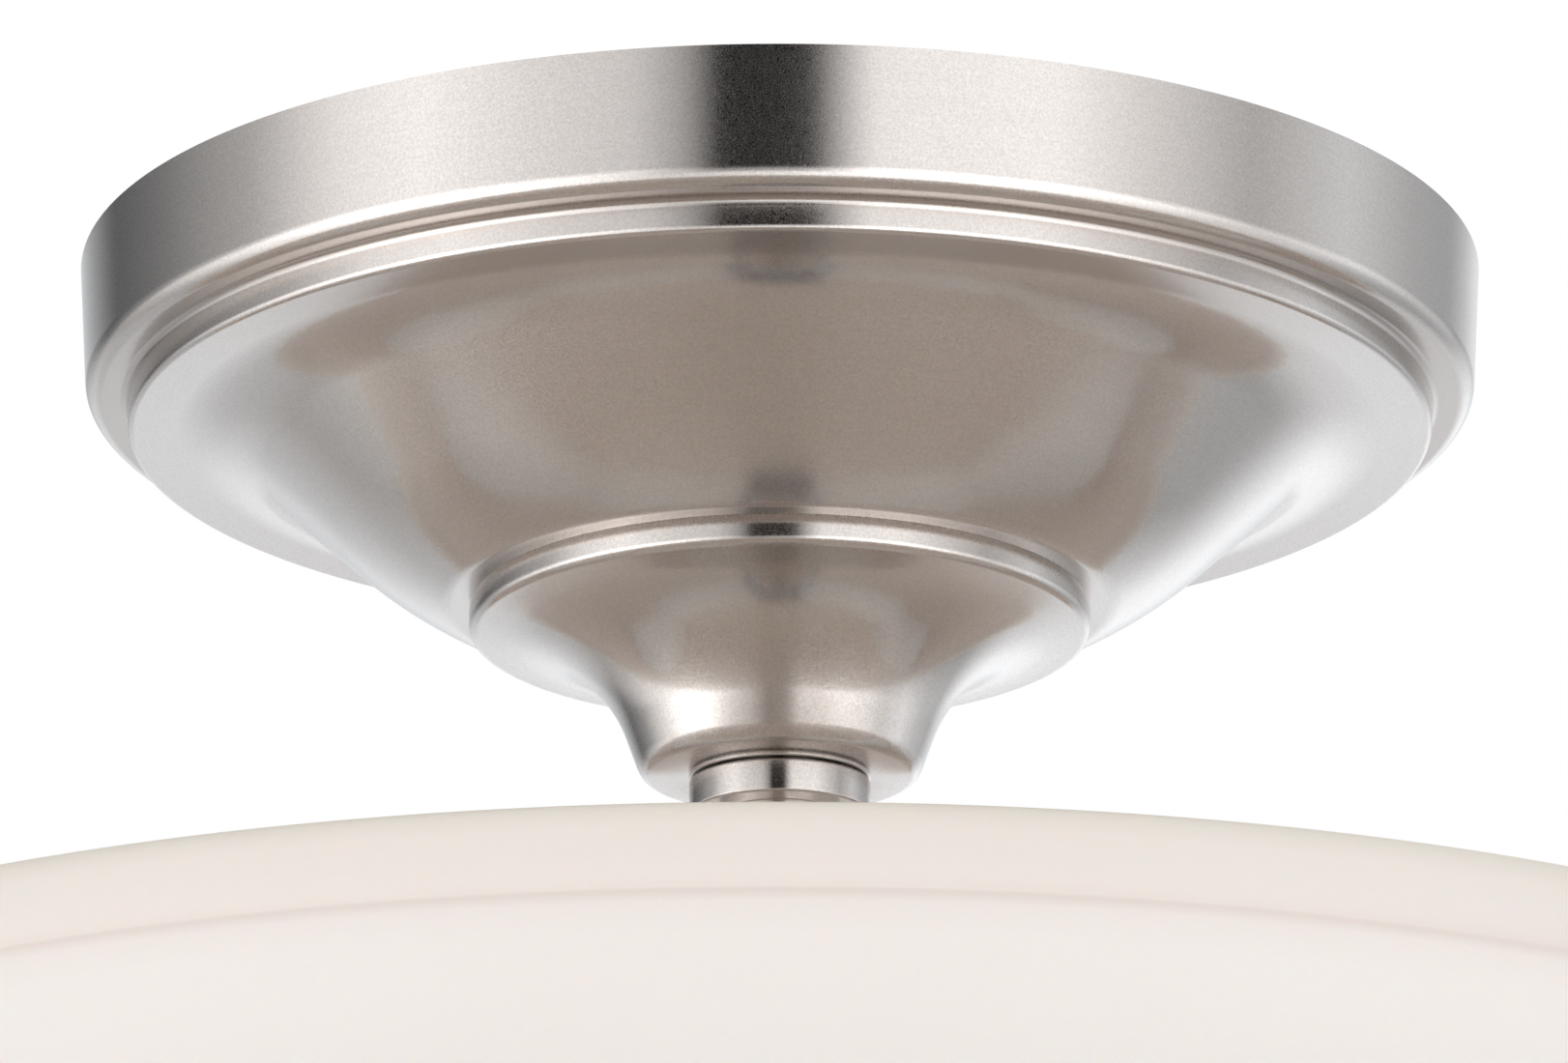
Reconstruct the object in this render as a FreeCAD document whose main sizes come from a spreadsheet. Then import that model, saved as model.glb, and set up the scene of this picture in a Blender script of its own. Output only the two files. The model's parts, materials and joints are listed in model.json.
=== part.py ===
import FreeCAD, Part
import math
import os
import Sketcher
from FreeCAD import Vector
from types import SimpleNamespace

# Semi-flush ceiling light. Millimetres, +Z up. The origin is the centre of the canopy's
# upper rim, on the plane of the ceiling, so the whole light hangs below zero.

os.makedirs("parts", exist_ok=True)
doc = FreeCAD.newDocument("CeilingLight")
sheet = doc.addObject("Spreadsheet::Sheet", "Sizes")

# Driving dimensions, by piece

DIMENSIONS = {
    # fits and gaps
    "running_gap": 0.08,
    "loose_gap": 0.2,
    "seat_gap": 0.3,
    "cut_overrun": 2.0,
    # canopy pan
    "canopy_wall_lean": 0.7,
    "canopy_wall_height": 14.5,
    "canopy_foot_round": 1.9,
    "pan_metal": 1.0,
    "ledge_width": 4.6,
    "step_cove": 0.9,
    "step_round": 0.7,
    "step_height": 3.5,
    "flat_width": 5.2,
    "bowl_mouth_run": 9.3,
    "bowl_mouth_drop": 3.57,
    "bowl_flank_run": 8.12,
    "bowl_flank_drop": 7.31,
    "bowl_run": 10.59,
    "bowl_drop": 7.13,
    "bowl_foot_run": 1.69,
    "bowl_foot_drop": 0.39,
    "neck_seat_ledge": 1.7,
    # neck cup
    "neck_ring_height": 3.25,
    "neck_ring_bevel_run": 0.25,
    "neck_ring_bevel_drop": 0.9,
    "neck_ring_round": 1.0,
    "neck_ring_ledge": 4.05,
    "spigot_inset": 1.8,
    "spigot_height": 2.6,
    "cup_metal": 1.3,
    "trumpet_start_drop": 0.42,
    "trumpet_mouth_run": 5.6,
    "trumpet_mouth_drop": 1.97,
    "trumpet_throat_run": 7.0,
    "trumpet_throat_drop": 8.46,
    "trumpet_shank_run": 1.15,
    "trumpet_shank_drop": 3.2,
    "trumpet_foot_run": 0.55,
    "trumpet_foot_drop": 1.05,
    "lip_run": 0.85,
    "lip_drop": 0.55,
    "foot_width": 4.28,
    "hub_radius": 9.62,
    "hub_reach": 0.3,
    "cavity_shelf": 0.6,
    "hub_edge": 0.15,
    # neck retainer
    "retainer_height": 1.4,
    # lock collar
    "collar_height": 3.6,
    "collar_edge": 0.3,
    # stem tube
    "stem_radius": 6.35,
    "stem_bore_radius": 5.05,
    "stem_depth": 104.5,
    # crossbar
    "bar_length": 104.0,
    "bar_width": 16.0,
    "bar_metal": 2.0,
    "bar_corner": 3.0,
    "slot_spacing": 79.4,
    "slot_length": 16.0,
    "slot_radius": 2.4,
    "ground_hole_reach": 22.0,
    # threaded lamp pipe
    "pipe_radius": 4.86,
    "pipe_bore_radius": 3.5,
    "top_pipe_start": 0.4,
    "nut_flats": 13.0,
    "nut_height": 3.0,
    # hickey
    "hickey_radius": 8.5,
    "hickey_top": 7.0,
    "hickey_window_top": 11.0,
    "hickey_window_height": 8.0,
    "hickey_window_width": 10.0,
    "hickey_foot_height": 5.0,
    "stem_seat_ledge": 1.0,
    # ground screw
    "ground_screw_radius": 2.1,
    "ground_head_radius": 4.0,
    "ground_head_height": 2.0,
    # leads and wire nuts
    "lead_radius": 0.95,
    "lead_pitch": 2.2,
    "lead_side_reach": 5.0,
    "lead_bend_reach": 5.2,
    "lead_rise_drop": 9.5,
    "lead_bend_radius": 3.2,
    "ground_lead_radius": 0.8,
    "ground_lead_drop": 9.0,
    "wire_nut_reach": 24.0,
    "wire_nut_length": 17.0,
    "wire_nut_mouth_radius": 5.2,
    "wire_nut_tip_radius": 3.4,
    "wire_nut_bore_radius": 2.4,
    "wire_nut_bore_depth": 8.0,
    "lead_grip": 6.0,
    # stem nipple
    "stem_nipple_grip": 7.5,
    # lamp bracket
    "bracket_half_width": 9.5,
    "bracket_depth": 30.0,
    "bracket_height": 46.0,
    "bracket_metal": 1.5,
    "bracket_bend": 3.0,
    "lamp_axis_drop": 23.5,
    "lead_hole_radius": 1.5,
    "holder_screw_reach": 13.0,
    "holder_screw_radius": 1.6,
    "holder_screw_length": 5.5,
    "holder_head_radius": 2.5,
    "holder_head_height": 1.6,
    # lampholder
    "holder_radius": 19.0,
    "holder_length": 40.0,
    "holder_base": 8.0,
    "holder_bore_radius": 14.5,
    "holder_round": 2.0,
    "shell_metal": 0.45,
    "shell_start": 13.0,
    "shell_length": 24.5,
    "shell_floor_radius": 8.0,
    "contact_length": 12.0,
    "contact_width": 6.0,
    "contact_height": 2.8,
    "contact_metal": 0.5,
    # lamp
    "cap_radius": 13.1,
    "cap_length": 26.5,
    "cap_start": 2.4,
    "cap_foot_radius": 5.2,
    "cap_cone_radius": 11.0,
    "cap_cone_length": 5.0,
    "tip_radius": 4.6,
    "bulb_neck_radius": 12.9,
    "bulb_neck_length": 30.0,
    "bulb_wall": 0.8,
    "bulb_radius": 30.0,
    "bulb_centre_reach": 74.0,
    # shade rod and its fittings
    "rod_radius": 2.4,
    "rod_foot_grip": 9.3,
    "rod_top_reach": 5.0,
    "rod_nut_flats": 8.0,
    "rod_nut_height": 3.4,
    "washer_radius": 14.0,
    "washer_height": 1.2,
    "cushion_radius": 13.0,
    "cushion_height": 1.5,
    # glass shade
    "lamp_clearance": 15.1,
    "shade_rise": 30.45,
    "bead_crown_inset": 3.0,
    "bead_crown_drop": 3.0,
    "bead_height": 8.35,
    "bead_overhang": 2.7,
    "shade_side_lean": 0.6,
    "shade_side_height": 16.1,
    "shade_shoulder_run": 24.2,
    "shade_shoulder_drop": 48.9,
    "shade_belly_drop": 38.1,
    "glass_wall": 4.0,
    "rim_round": 1.4,
    "shade_seat_radius": 16.0,
    "shade_hole_radius": 5.5,
    # lower cap and finial
    "lower_cap_shelf": 6.5,
    "lower_cap_foot_height": 0.9,
    "lower_cap_lip": 0.6,
    "lower_cap_round": 2.5,
    "lower_cap_metal": 1.2,
    "lower_cap_cove_radius": 13.0,
    "lower_cap_foot_radius": 8.0,
    "finial_disc_radius": 9.0,
    "finial_disc_height": 2.2,
    "finial_round": 0.6,
    "finial_neck_radius": 4.6,
    "finial_ball_radius": 7.5,
    "finial_ball_drop": 14.0,
    "finial_ball_angle": 30.0,
    "finial_bore_depth": 10.4,
}

# Shares, chosen by hand, of the sizes that they follow

half_share = 0.5
bulb_shoulder_share = 0.4
contact_knee_shares = (0.27, 0.55, 0.32)
tip_face_share = 0.7
tip_edge_share = 0.4
slanted_bend_share = 3
volume_tolerance_share = 0.01


class Size:
    """A number in millimetres or degrees, with the expression that gives it from the sheet."""

    def __init__(self, number, text):
        self.number = number
        self.text = text

    def __add__(self, other):
        return Size(self.number + other.number, f"({self.text} + {other.text})")

    def __sub__(self, other):
        return Size(self.number - other.number, f"({self.text} - {other.text})")

    def __neg__(self):
        return Size(-self.number, f"(-1 * {self.text})")

    def __mul__(self, other):
        other = other if isinstance(other, Size) else Size(other, str(other))
        return Size(self.number * other.number, f"({self.text} * {other.text})")

    def __truediv__(self, other):
        return Size(self.number / other.number, f"({self.text} / {other.text})")


def sine(angle):
    return Size(math.sin(math.radians(angle.number)), f"sin({angle.text})")


def cosine(angle):
    return Size(math.cos(math.radians(angle.number)), f"cos({angle.text})")


def slope_of(run, drop):
    """Slope, in degrees, of a straight line that covers a run and a drop."""
    ratio = drop / run
    return Size(math.degrees(math.atan(ratio.number)), f"(atan({ratio.text}) / 1 deg)")


def slope_after(run, drop):
    """Slope, in degrees, at the end of an arc that starts level and covers a run and a drop."""
    ratio = drop / run
    angle = 2 * math.degrees(math.atan(ratio.number))
    return Size(angle, f"(2 * atan({ratio.text}) / 1 deg)")


def slope_between(start_slope, run, drop):
    """Slope, in degrees, at the end of an arc that starts at a slope and covers a run and a drop."""
    ratio = drop / run
    chord = math.degrees(math.atan(ratio.number))
    text = f"(2 * atan({ratio.text}) / 1 deg - {start_slope.text})"
    return Size(2 * chord - start_slope.number, text)


row = 0
for alias, number in DIMENSIONS.items():
    row += 1
    sheet.set(f"A{row}", alias)
    sheet.set(f"B{row}", str(number))
    sheet.setAlias(f"B{row}", alias)
doc.recompute()

d = SimpleNamespace(**{name: Size(number, f"Sizes.{name}") for name, number in DIMENSIONS.items()})
zero = Size(0.0, "0")
hexagon_angle = Size(30.0, "30")

# Radii that follow one another, from the hub out to the canopy's wall

d.foot_radius = d.hub_radius + d.foot_width
d.trumpet_lip_radius = d.foot_radius + d.lip_run
d.trumpet_foot_radius = d.trumpet_lip_radius + d.trumpet_foot_run
d.trumpet_shank_radius = d.trumpet_foot_radius + d.trumpet_shank_run
d.trumpet_turn_radius = d.trumpet_shank_radius + d.trumpet_throat_run
d.trumpet_start_radius = d.trumpet_turn_radius + d.trumpet_mouth_run
d.neck_ring_radius = d.trumpet_start_radius + d.neck_ring_ledge
d.spigot_radius = d.neck_ring_radius - d.spigot_inset
d.neck_seat_radius = d.neck_ring_radius + d.neck_seat_ledge
d.bowl_foot_radius = d.neck_seat_radius + d.bowl_foot_run
d.bowl_turn_radius = d.bowl_foot_radius + d.bowl_run
d.bowl_flank_radius = d.bowl_turn_radius + d.bowl_flank_run
d.pan_flat_radius = d.bowl_flank_radius + d.bowl_mouth_run
d.step_radius = d.pan_flat_radius + d.flat_width
d.canopy_wall_foot_radius = d.step_radius + d.ledge_width
d.canopy_radius = d.canopy_wall_foot_radius + d.canopy_wall_lean

# Depths that follow one another, from the canopy's wall down to the hub

d.pan_face_depth = d.canopy_wall_height + d.step_height
d.bowl_flank_depth = d.pan_face_depth + d.bowl_mouth_drop
d.bowl_turn_depth = d.bowl_flank_depth + d.bowl_flank_drop
d.bowl_foot_depth = d.bowl_turn_depth + d.bowl_drop
d.neck_seat_depth = d.bowl_foot_depth + d.bowl_foot_drop
ring_foot = d.neck_seat_depth + d.neck_ring_height
trumpet_start_depth = ring_foot + d.trumpet_start_drop
d.trumpet_turn_depth = trumpet_start_depth + d.trumpet_mouth_drop
d.trumpet_shank_depth = d.trumpet_turn_depth + d.trumpet_throat_drop
d.trumpet_foot_depth = d.trumpet_shank_depth + d.trumpet_shank_drop
d.trumpet_lip_depth = d.trumpet_foot_depth + d.trumpet_foot_drop
d.foot_depth = d.trumpet_lip_depth + d.lip_drop
d.hub_depth = d.foot_depth + d.hub_reach

# The lamps' place on the stem, and the shade's size and place around them

window_foot = d.hickey_window_top + d.hickey_window_height
d.stem_seat_depth = window_foot + d.stem_seat_ledge
d.lead_turn_depth = d.hickey_window_top + d.hickey_window_height * half_share
d.stem_nipple_top = d.stem_depth - d.stem_nipple_grip
d.stem_nipple_foot = d.stem_depth + d.stem_nipple_grip
d.lead_rise_depth = d.stem_depth + d.lead_rise_drop
d.lamp_axis_depth = d.stem_depth + d.lamp_axis_drop
lamp_start = d.bracket_half_width + d.holder_base + d.contact_height + d.seat_gap
d.shade_radius = lamp_start + d.bulb_centre_reach + d.bulb_radius + d.lamp_clearance
d.bead_crown_radius = d.shade_radius - d.bead_crown_inset
d.shade_neck_radius = d.shade_radius - d.bead_overhang
d.shade_side_radius = d.shade_neck_radius - d.shade_side_lean
d.shade_shoulder_radius = d.shade_side_radius - d.shade_shoulder_run
d.shade_top_depth = d.lamp_axis_depth - d.shade_rise
bead_foot = d.shade_top_depth + d.bead_height
d.shade_side_depth = bead_foot + d.shade_side_height
d.shade_shoulder_depth = d.shade_side_depth + d.shade_shoulder_drop
d.shade_seat_depth = d.shade_shoulder_depth + d.shade_belly_drop

# Heights of the lower cap, from the glass down to the finial

lower_cushion_foot = -d.shade_seat_depth - d.cushion_height
lower_cap_radius = d.lower_cap_cove_radius + d.lower_cap_round + d.lower_cap_shelf
cap_rim = -d.shade_seat_depth
cap_shelf = cap_rim - d.lower_cap_lip - d.lower_cap_round
cap_cove_foot = cap_shelf + d.lower_cap_foot_radius - d.lower_cap_cove_radius
cap_foot = cap_cove_foot - d.lower_cap_foot_height
finial_top = cap_foot - d.loose_gap
rod_foot = finial_top - d.rod_foot_grip

# Sketching: an outline is a list of corners, each reached by a line or by an arc that is
# tangent to the edge before it


def line(across, up):
    return ("line", across, up)


def curve(across, up):
    return ("curve", across, up)


def arc_from_tangent(start, direction, end):
    """The arc that leaves start along direction and ends at end."""
    chord = end.sub(start)
    normal = Vector(-direction.y, direction.x, 0)
    radius = chord.dot(chord) / (2 * chord.dot(normal))
    centre = start.add(normal.multiply(radius))
    middle = start.add(chord.multiply(half_share)).sub(centre)
    middle.normalize()
    middle = centre.add(middle.multiply(abs(radius)))
    return Part.Arc(start, middle, end)


def end_direction(edge, start, end):
    """The direction in which an outline's edge arrives at its end."""
    shape = edge.toShape()
    far = shape.LastParameter
    near = shape.FirstParameter
    if shape.valueAt(far).sub(end).Length > shape.valueAt(near).sub(end).Length:
        return shape.tangentAt(near).multiply(-1)
    return shape.tangentAt(far)


def bind(sketch, kind, *places):
    """Add a distance constraint whose last place is a Size, and tie it to the sheet."""
    *where, size = places
    index = sketch.addConstraint(Sketcher.Constraint(kind, *where, size.number))
    sketch.setExpression(f"Constraints[{index}]", size.text)


def draw(sketch, outline):
    """Draw a closed outline and tie each corner to the sheet."""
    corners = [Vector(across.number, up.number, 0) for kind, across, up in outline]
    count = len(outline)
    ends = []
    direction = None
    for i in range(count):
        start = corners[i]
        end = corners[(i + 1) % count]
        kind = outline[(i + 1) % count][0]
        if kind == "line":
            index = sketch.addGeometry(Part.LineSegment(start, end))
            direction = end.sub(start)
            direction.normalize()
            ends.append((index, 1, 2))
        else:
            arc = arc_from_tangent(start, direction, end)
            index = sketch.addGeometry(arc)
            direction = end_direction(arc, start, end)
            reached = sketch.getPoint(index, 2).sub(end).Length < sketch.getPoint(index, 1).sub(end).Length
            ends.append((index, 1, 2) if reached else (index, 2, 1))
    for i in range(count):
        here = ends[i - 1]
        after = ends[i]
        kind = "Tangent" if outline[(i + 1) % count][0] == "curve" else "Coincident"
        sketch.addConstraint(Sketcher.Constraint(kind, here[0], here[2], after[0], after[1]))
    for i in range(count):
        kind, across, up = outline[i]
        geometry, point = ends[i][0], ends[i][1]
        if across is zero:
            sketch.addConstraint(Sketcher.Constraint("PointOnObject", geometry, point, -2))
        else:
            bind(sketch, "DistanceX", -1, 1, geometry, point, across)
        if up is zero:
            sketch.addConstraint(Sketcher.Constraint("PointOnObject", geometry, point, -1))
        else:
            bind(sketch, "DistanceY", -1, 1, geometry, point, up)


def new_body(label):
    body = doc.addObject("PartDesign::Body", label)
    body.Label = label
    return body


def new_sketch(body, plane_role):
    sketch = body.newObject("Sketcher::SketchObject", body.Name + "_sketch")
    plane = [item for item in body.Origin.OriginFeatures if item.Role == plane_role][0]
    sketch.AttachmentSupport = (plane, [""])
    sketch.MapMode = "FlatFace"
    return sketch


def place(item, x=zero, y=zero, z=zero, rotation=None):
    """Put an object at a place that follows the sheet, turned if a rotation is given."""
    turn = rotation or FreeCAD.Rotation()
    item.Placement = FreeCAD.Placement(Vector(x.number, y.number, z.number), turn)
    for axis, size in (("x", x), ("y", y), ("z", z)):
        if size is not zero:
            item.setExpression(f"Placement.Base.{axis}", size.text)
    return item


def turned(label, outline, **where):
    """A piece turned about its own Z axis from a half section, radius across and height up."""
    body = new_body(label)
    sketch = new_sketch(body, "XZ_Plane")
    draw(sketch, outline)
    spin = body.newObject("PartDesign::Revolution", body.Name + "_spin")
    spin.Profile = sketch
    spin.ReferenceAxis = (sketch, ["V_Axis"])
    spin.Angle = 360
    sketch.Visibility = False
    return place(body, **where)


def hollowed(body, outline):
    """Take a turned cavity out of a turned piece, from a half section in the piece's own frame."""
    sketch = new_sketch(body, "XZ_Plane")
    draw(sketch, outline)
    cavity = body.newObject("PartDesign::Groove", body.Name + "_cavity")
    cavity.Profile = sketch
    cavity.ReferenceAxis = (sketch, ["V_Axis"])
    cavity.Angle = 360
    sketch.Visibility = False
    return body


def extruded(label, plane_role, outline, depth, centred=False, **where):
    """A piece of one section and one thickness."""
    body = new_body(label)
    sketch = new_sketch(body, plane_role)
    draw(sketch, outline)
    pad = body.newObject("PartDesign::Pad", body.Name + "_pad")
    pad.Profile = sketch
    pad.Midplane = centred
    pad.setExpression("Length", depth.text)
    return place(body, **where)


def primitive(kind, name, sizes, **where):
    item = doc.addObject(kind, name)
    for key, size in sizes.items():
        item.setExpression(key, size.text)
    return place(item, **where)


def cylinder(name, radius, height, **where):
    return primitive("Part::Cylinder", name, {"Radius": radius, "Height": height}, **where)


def cut(label, base, *tools):
    """One piece, with every tool taken out of it."""
    tool = tools[0]
    if len(tools) > 1:
        tool = doc.addObject("Part::MultiFuse", label + "_tools")
        tool.Shapes = list(tools)
    result = doc.addObject("Part::Cut", label)
    result.Base = base
    result.Tool = tool
    result.Label = label
    return result


def group(label, *items):
    """Separate solids that share one file."""
    result = doc.addObject("Part::Compound", label)
    result.Links = list(items)
    result.Label = label
    return result


def hexagon(name, flats, height, **where):
    """A six-sided bar, with its flats facing along X."""
    item = doc.addObject("Part::Prism", name)
    item.Polygon = 6
    item.setExpression("Circumradius", (flats * half_share / cosine(hexagon_angle)).text)
    item.setExpression("Height", height.text)
    return place(item, rotation=FreeCAD.Rotation(Vector(0, 0, 1), hexagon_angle.number), **where)


def nut(label, flats, height, bore, z):
    """A hexagon nut whose lower face is at z."""
    blank = hexagon(label + "_blank", flats, height, z=z)
    drill = cylinder(label + "_bore", bore, height + d.cut_overrun * 2, z=z - d.cut_overrun)
    return cut(label, blank, drill)


def ring(label, inner, outer, height, z):
    """A flat ring whose lower face is at z."""
    section = [line(inner, zero), line(outer, zero), line(outer, height), line(inner, height)]
    return turned(label, section, z=z)


# Rotations that lay a turned piece along +X or -X, and a bore along Y

along_x = {1: FreeCAD.Rotation(Vector(0, 1, 0), 90), -1: FreeCAD.Rotation(Vector(0, 1, 0), -90)}
along_y = {1: FreeCAD.Rotation(Vector(1, 0, 0), -90), -1: FreeCAD.Rotation(Vector(1, 0, 0), 90)}
side_names = {-1: "left", 1: "right"}
level_names = {-1: "lower", 1: "upper"}
turn_names = {-1: "front", 1: "back"}
signs = {1: Size(1, "1"), -1: Size(-1, "(-1)")}

nodes = []


def keep(item):
    nodes.append(item)
    return item


# Canopy pan: a rim wall, a cove and a step, a flat ring, then an ogee bowl with a straight flank
# down to the neck seat. The inner line runs one metal thickness inside the outer one, square to
# it along the bowl.

bowl_slope = slope_of(d.bowl_flank_run, d.bowl_flank_drop)
foot_slope = slope_between(
    bowl_slope, d.bowl_turn_radius - d.bowl_foot_radius, d.bowl_foot_depth - d.bowl_turn_depth)
neck_hole_radius = d.spigot_radius + d.running_gap
wall_inner_radius = d.canopy_wall_foot_radius - d.pan_metal
step_inner_radius = d.step_radius - d.pan_metal
keep(turned("canopy_pan", [
    line(d.canopy_radius - d.pan_metal, zero),
    line(d.canopy_radius, zero),
    line(d.canopy_wall_foot_radius, d.canopy_foot_round - d.canopy_wall_height),
    curve(d.canopy_wall_foot_radius - d.canopy_foot_round, -d.canopy_wall_height),
    line(d.step_radius + d.step_cove, -d.canopy_wall_height),
    curve(d.step_radius, -d.canopy_wall_height - d.step_cove),
    line(d.step_radius, d.step_round - d.pan_face_depth),
    curve(d.step_radius - d.step_round, -d.pan_face_depth),
    line(d.pan_flat_radius, -d.pan_face_depth),
    curve(d.bowl_flank_radius, -d.bowl_flank_depth),
    line(d.bowl_turn_radius, -d.bowl_turn_depth),
    curve(d.bowl_foot_radius, -d.bowl_foot_depth),
    curve(d.neck_seat_radius, -d.neck_seat_depth),
    line(neck_hole_radius, -d.neck_seat_depth),
    line(neck_hole_radius, d.pan_metal - d.neck_seat_depth),
    line(d.neck_seat_radius, d.pan_metal - d.neck_seat_depth),
    curve(d.bowl_foot_radius - d.pan_metal * sine(foot_slope),
          d.pan_metal * cosine(foot_slope) - d.bowl_foot_depth),
    curve(d.bowl_turn_radius - d.pan_metal * sine(bowl_slope),
          d.pan_metal * cosine(bowl_slope) - d.bowl_turn_depth),
    line(d.bowl_flank_radius - d.pan_metal * sine(bowl_slope),
         d.pan_metal * cosine(bowl_slope) - d.bowl_flank_depth),
    curve(d.pan_flat_radius, d.pan_metal - d.pan_face_depth),
    line(step_inner_radius, d.pan_metal - d.pan_face_depth),
    line(step_inner_radius, d.pan_metal - d.canopy_wall_height),
    line(wall_inner_radius, d.pan_metal - d.canopy_wall_height),
]))

# Neck cup: a spigot through the pan, a bevelled ring under it, a trumpet with a straight shank,
# a round lip, a level foot and a short hub

cup_bore_radius = d.stem_radius + d.running_gap
spigot_top = d.spigot_height - d.neck_seat_depth
start_slope = slope_of(
    d.neck_ring_radius - d.neck_ring_round - d.trumpet_start_radius, d.trumpet_start_drop)
turn_slope = slope_between(
    start_slope, d.trumpet_start_radius - d.trumpet_turn_radius, d.trumpet_turn_depth - trumpet_start_depth)
shank_slope = slope_of(d.trumpet_shank_run, d.trumpet_shank_drop)
neck_cup = turned("neck_cup", [
    line(cup_bore_radius, spigot_top),
    line(d.spigot_radius, spigot_top),
    line(d.spigot_radius, -d.neck_seat_depth),
    line(d.neck_ring_radius - d.neck_ring_bevel_run, -d.neck_seat_depth),
    line(d.neck_ring_radius, -d.neck_seat_depth - d.neck_ring_bevel_drop),
    line(d.neck_ring_radius, d.neck_ring_round - ring_foot),
    curve(d.neck_ring_radius - d.neck_ring_round, -ring_foot),
    line(d.trumpet_start_radius, -trumpet_start_depth),
    curve(d.trumpet_turn_radius, -d.trumpet_turn_depth),
    curve(d.trumpet_shank_radius, -d.trumpet_shank_depth),
    line(d.trumpet_foot_radius, -d.trumpet_foot_depth),
    curve(d.trumpet_lip_radius, -d.trumpet_lip_depth),
    curve(d.foot_radius, -d.foot_depth),
    line(d.hub_radius, -d.foot_depth),
    line(d.hub_radius, d.hub_edge - d.hub_depth),
    line(d.hub_radius - d.hub_edge, -d.hub_depth),
    line(cup_bore_radius, -d.hub_depth),
])
cup_floor = d.cup_metal - d.foot_depth
cavity_radius = d.spigot_radius - d.cup_metal
cavity_start = d.cup_metal - trumpet_start_depth
keep(hollowed(neck_cup, [
    line(zero, spigot_top + d.cut_overrun),
    line(cavity_radius, spigot_top + d.cut_overrun),
    line(cavity_radius, cavity_start),
    line(cavity_radius - d.cavity_shelf, cavity_start - d.cavity_shelf * sine(start_slope)),
    curve(d.trumpet_turn_radius - d.cup_metal * sine(turn_slope),
          d.cup_metal * cosine(turn_slope) - d.trumpet_turn_depth),
    curve(d.trumpet_shank_radius - d.cup_metal * sine(shank_slope),
          d.cup_metal * cosine(shank_slope) - d.trumpet_shank_depth),
    line(d.trumpet_foot_radius - d.cup_metal, cup_floor),
    line(zero, cup_floor),
]))

# Neck retainer: the ring nut inside the pan that clamps the neck cup to it

keep(ring("neck_retainer", neck_hole_radius, d.neck_seat_radius - d.loose_gap, d.retainer_height,
          d.pan_metal - d.neck_seat_depth))

# Lock collar: the plain ring that holds the canopy up against the ceiling

collar_top = -d.hub_depth - d.seat_gap
collar_foot = collar_top - d.collar_height
keep(turned("lock_collar", [
    line(cup_bore_radius, collar_top),
    line(d.hub_radius - d.collar_edge, collar_top),
    line(d.hub_radius, collar_top - d.collar_edge),
    line(d.hub_radius, collar_foot + d.collar_edge),
    line(d.hub_radius - d.collar_edge, collar_foot),
    line(cup_bore_radius, collar_foot),
]))

# Stem tube, from its seat in the hickey down to the lamp bracket

keep(ring("stem_tube", d.stem_bore_radius, d.stem_radius, d.stem_depth - d.stem_seat_depth, -d.stem_depth))

# Crossbar: a strap with rounded corners, two slots for the ceiling box's screws, the pipe's
# hole at its middle and the ground screw's hole

half_bar = d.bar_length * half_share
bar_side = d.bar_width * half_share
bar_end = half_bar - d.bar_corner
bar_inset = bar_side - d.bar_corner
bar_blank = extruded("crossbar_blank", "XY_Plane", [
    line(-bar_end, -bar_side),
    line(bar_end, -bar_side),
    curve(half_bar, -bar_inset),
    line(half_bar, bar_inset),
    curve(bar_end, bar_side),
    line(-bar_end, bar_side),
    curve(-half_bar, bar_inset),
    line(-half_bar, -bar_inset),
], d.bar_metal, z=-d.bar_metal)
bar_cut_height = d.bar_metal + d.cut_overrun * 2
bar_cut_foot = -d.bar_metal - d.cut_overrun
slot_straight = d.slot_length * half_share - d.slot_radius
bar_tools = []
for side in (-1, 1):
    bar_tools.append(extruded(f"slot_{side_names[side]}", "XY_Plane", [
        curve(-slot_straight, -d.slot_radius),
        line(slot_straight, -d.slot_radius),
        curve(slot_straight + d.slot_radius, zero),
        curve(slot_straight, d.slot_radius),
        line(-slot_straight, d.slot_radius),
        curve(-slot_straight - d.slot_radius, zero),
    ], bar_cut_height, x=signs[side] * d.slot_spacing * half_share, z=bar_cut_foot))
bar_tools.append(cylinder("bar_pipe_hole", d.pipe_radius + d.running_gap, bar_cut_height, z=bar_cut_foot))
bar_tools.append(cylinder("bar_ground_hole", d.ground_screw_radius + d.running_gap, bar_cut_height,
                          x=d.ground_hole_reach, z=bar_cut_foot))
keep(cut("crossbar", bar_blank, *bar_tools))

# Crossbar nipple and its locknut: the threaded pipe that hangs the hickey from the crossbar

keep(ring("crossbar_nipple", d.pipe_bore_radius, d.pipe_radius,
          d.hickey_window_top - d.top_pipe_start, -d.hickey_window_top))
pipe_hole_radius = d.pipe_radius + d.running_gap
keep(nut("nipple_locknut", d.nut_flats, d.nut_height, pipe_hole_radius, -d.bar_metal - d.nut_height))

# Hickey: a fitting with an open window, where the leads leave the stem

hickey_foot = window_foot + d.hickey_foot_height
hickey_blank = cylinder("hickey_blank", d.hickey_radius, hickey_foot - d.hickey_top, z=-hickey_foot)
hickey_top_bore = cylinder("hickey_top_bore", pipe_hole_radius,
                           d.hickey_window_top - d.hickey_top + d.cut_overrun, z=-d.hickey_window_top)
hickey_passage = cylinder("hickey_passage", d.stem_bore_radius, d.hickey_foot_height, z=-hickey_foot)
hickey_seat = cylinder("hickey_seat", d.stem_radius + d.running_gap,
                       hickey_foot - d.stem_seat_depth + d.cut_overrun, z=-hickey_foot - d.cut_overrun)
window_depth = (d.hickey_radius + d.cut_overrun) * 2
hickey_window = primitive("Part::Box", "hickey_window", {
    "Length": d.hickey_window_width,
    "Width": window_depth,
    "Height": d.hickey_window_height,
}, x=-d.hickey_window_width * half_share, y=-window_depth * half_share, z=-window_foot)
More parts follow.
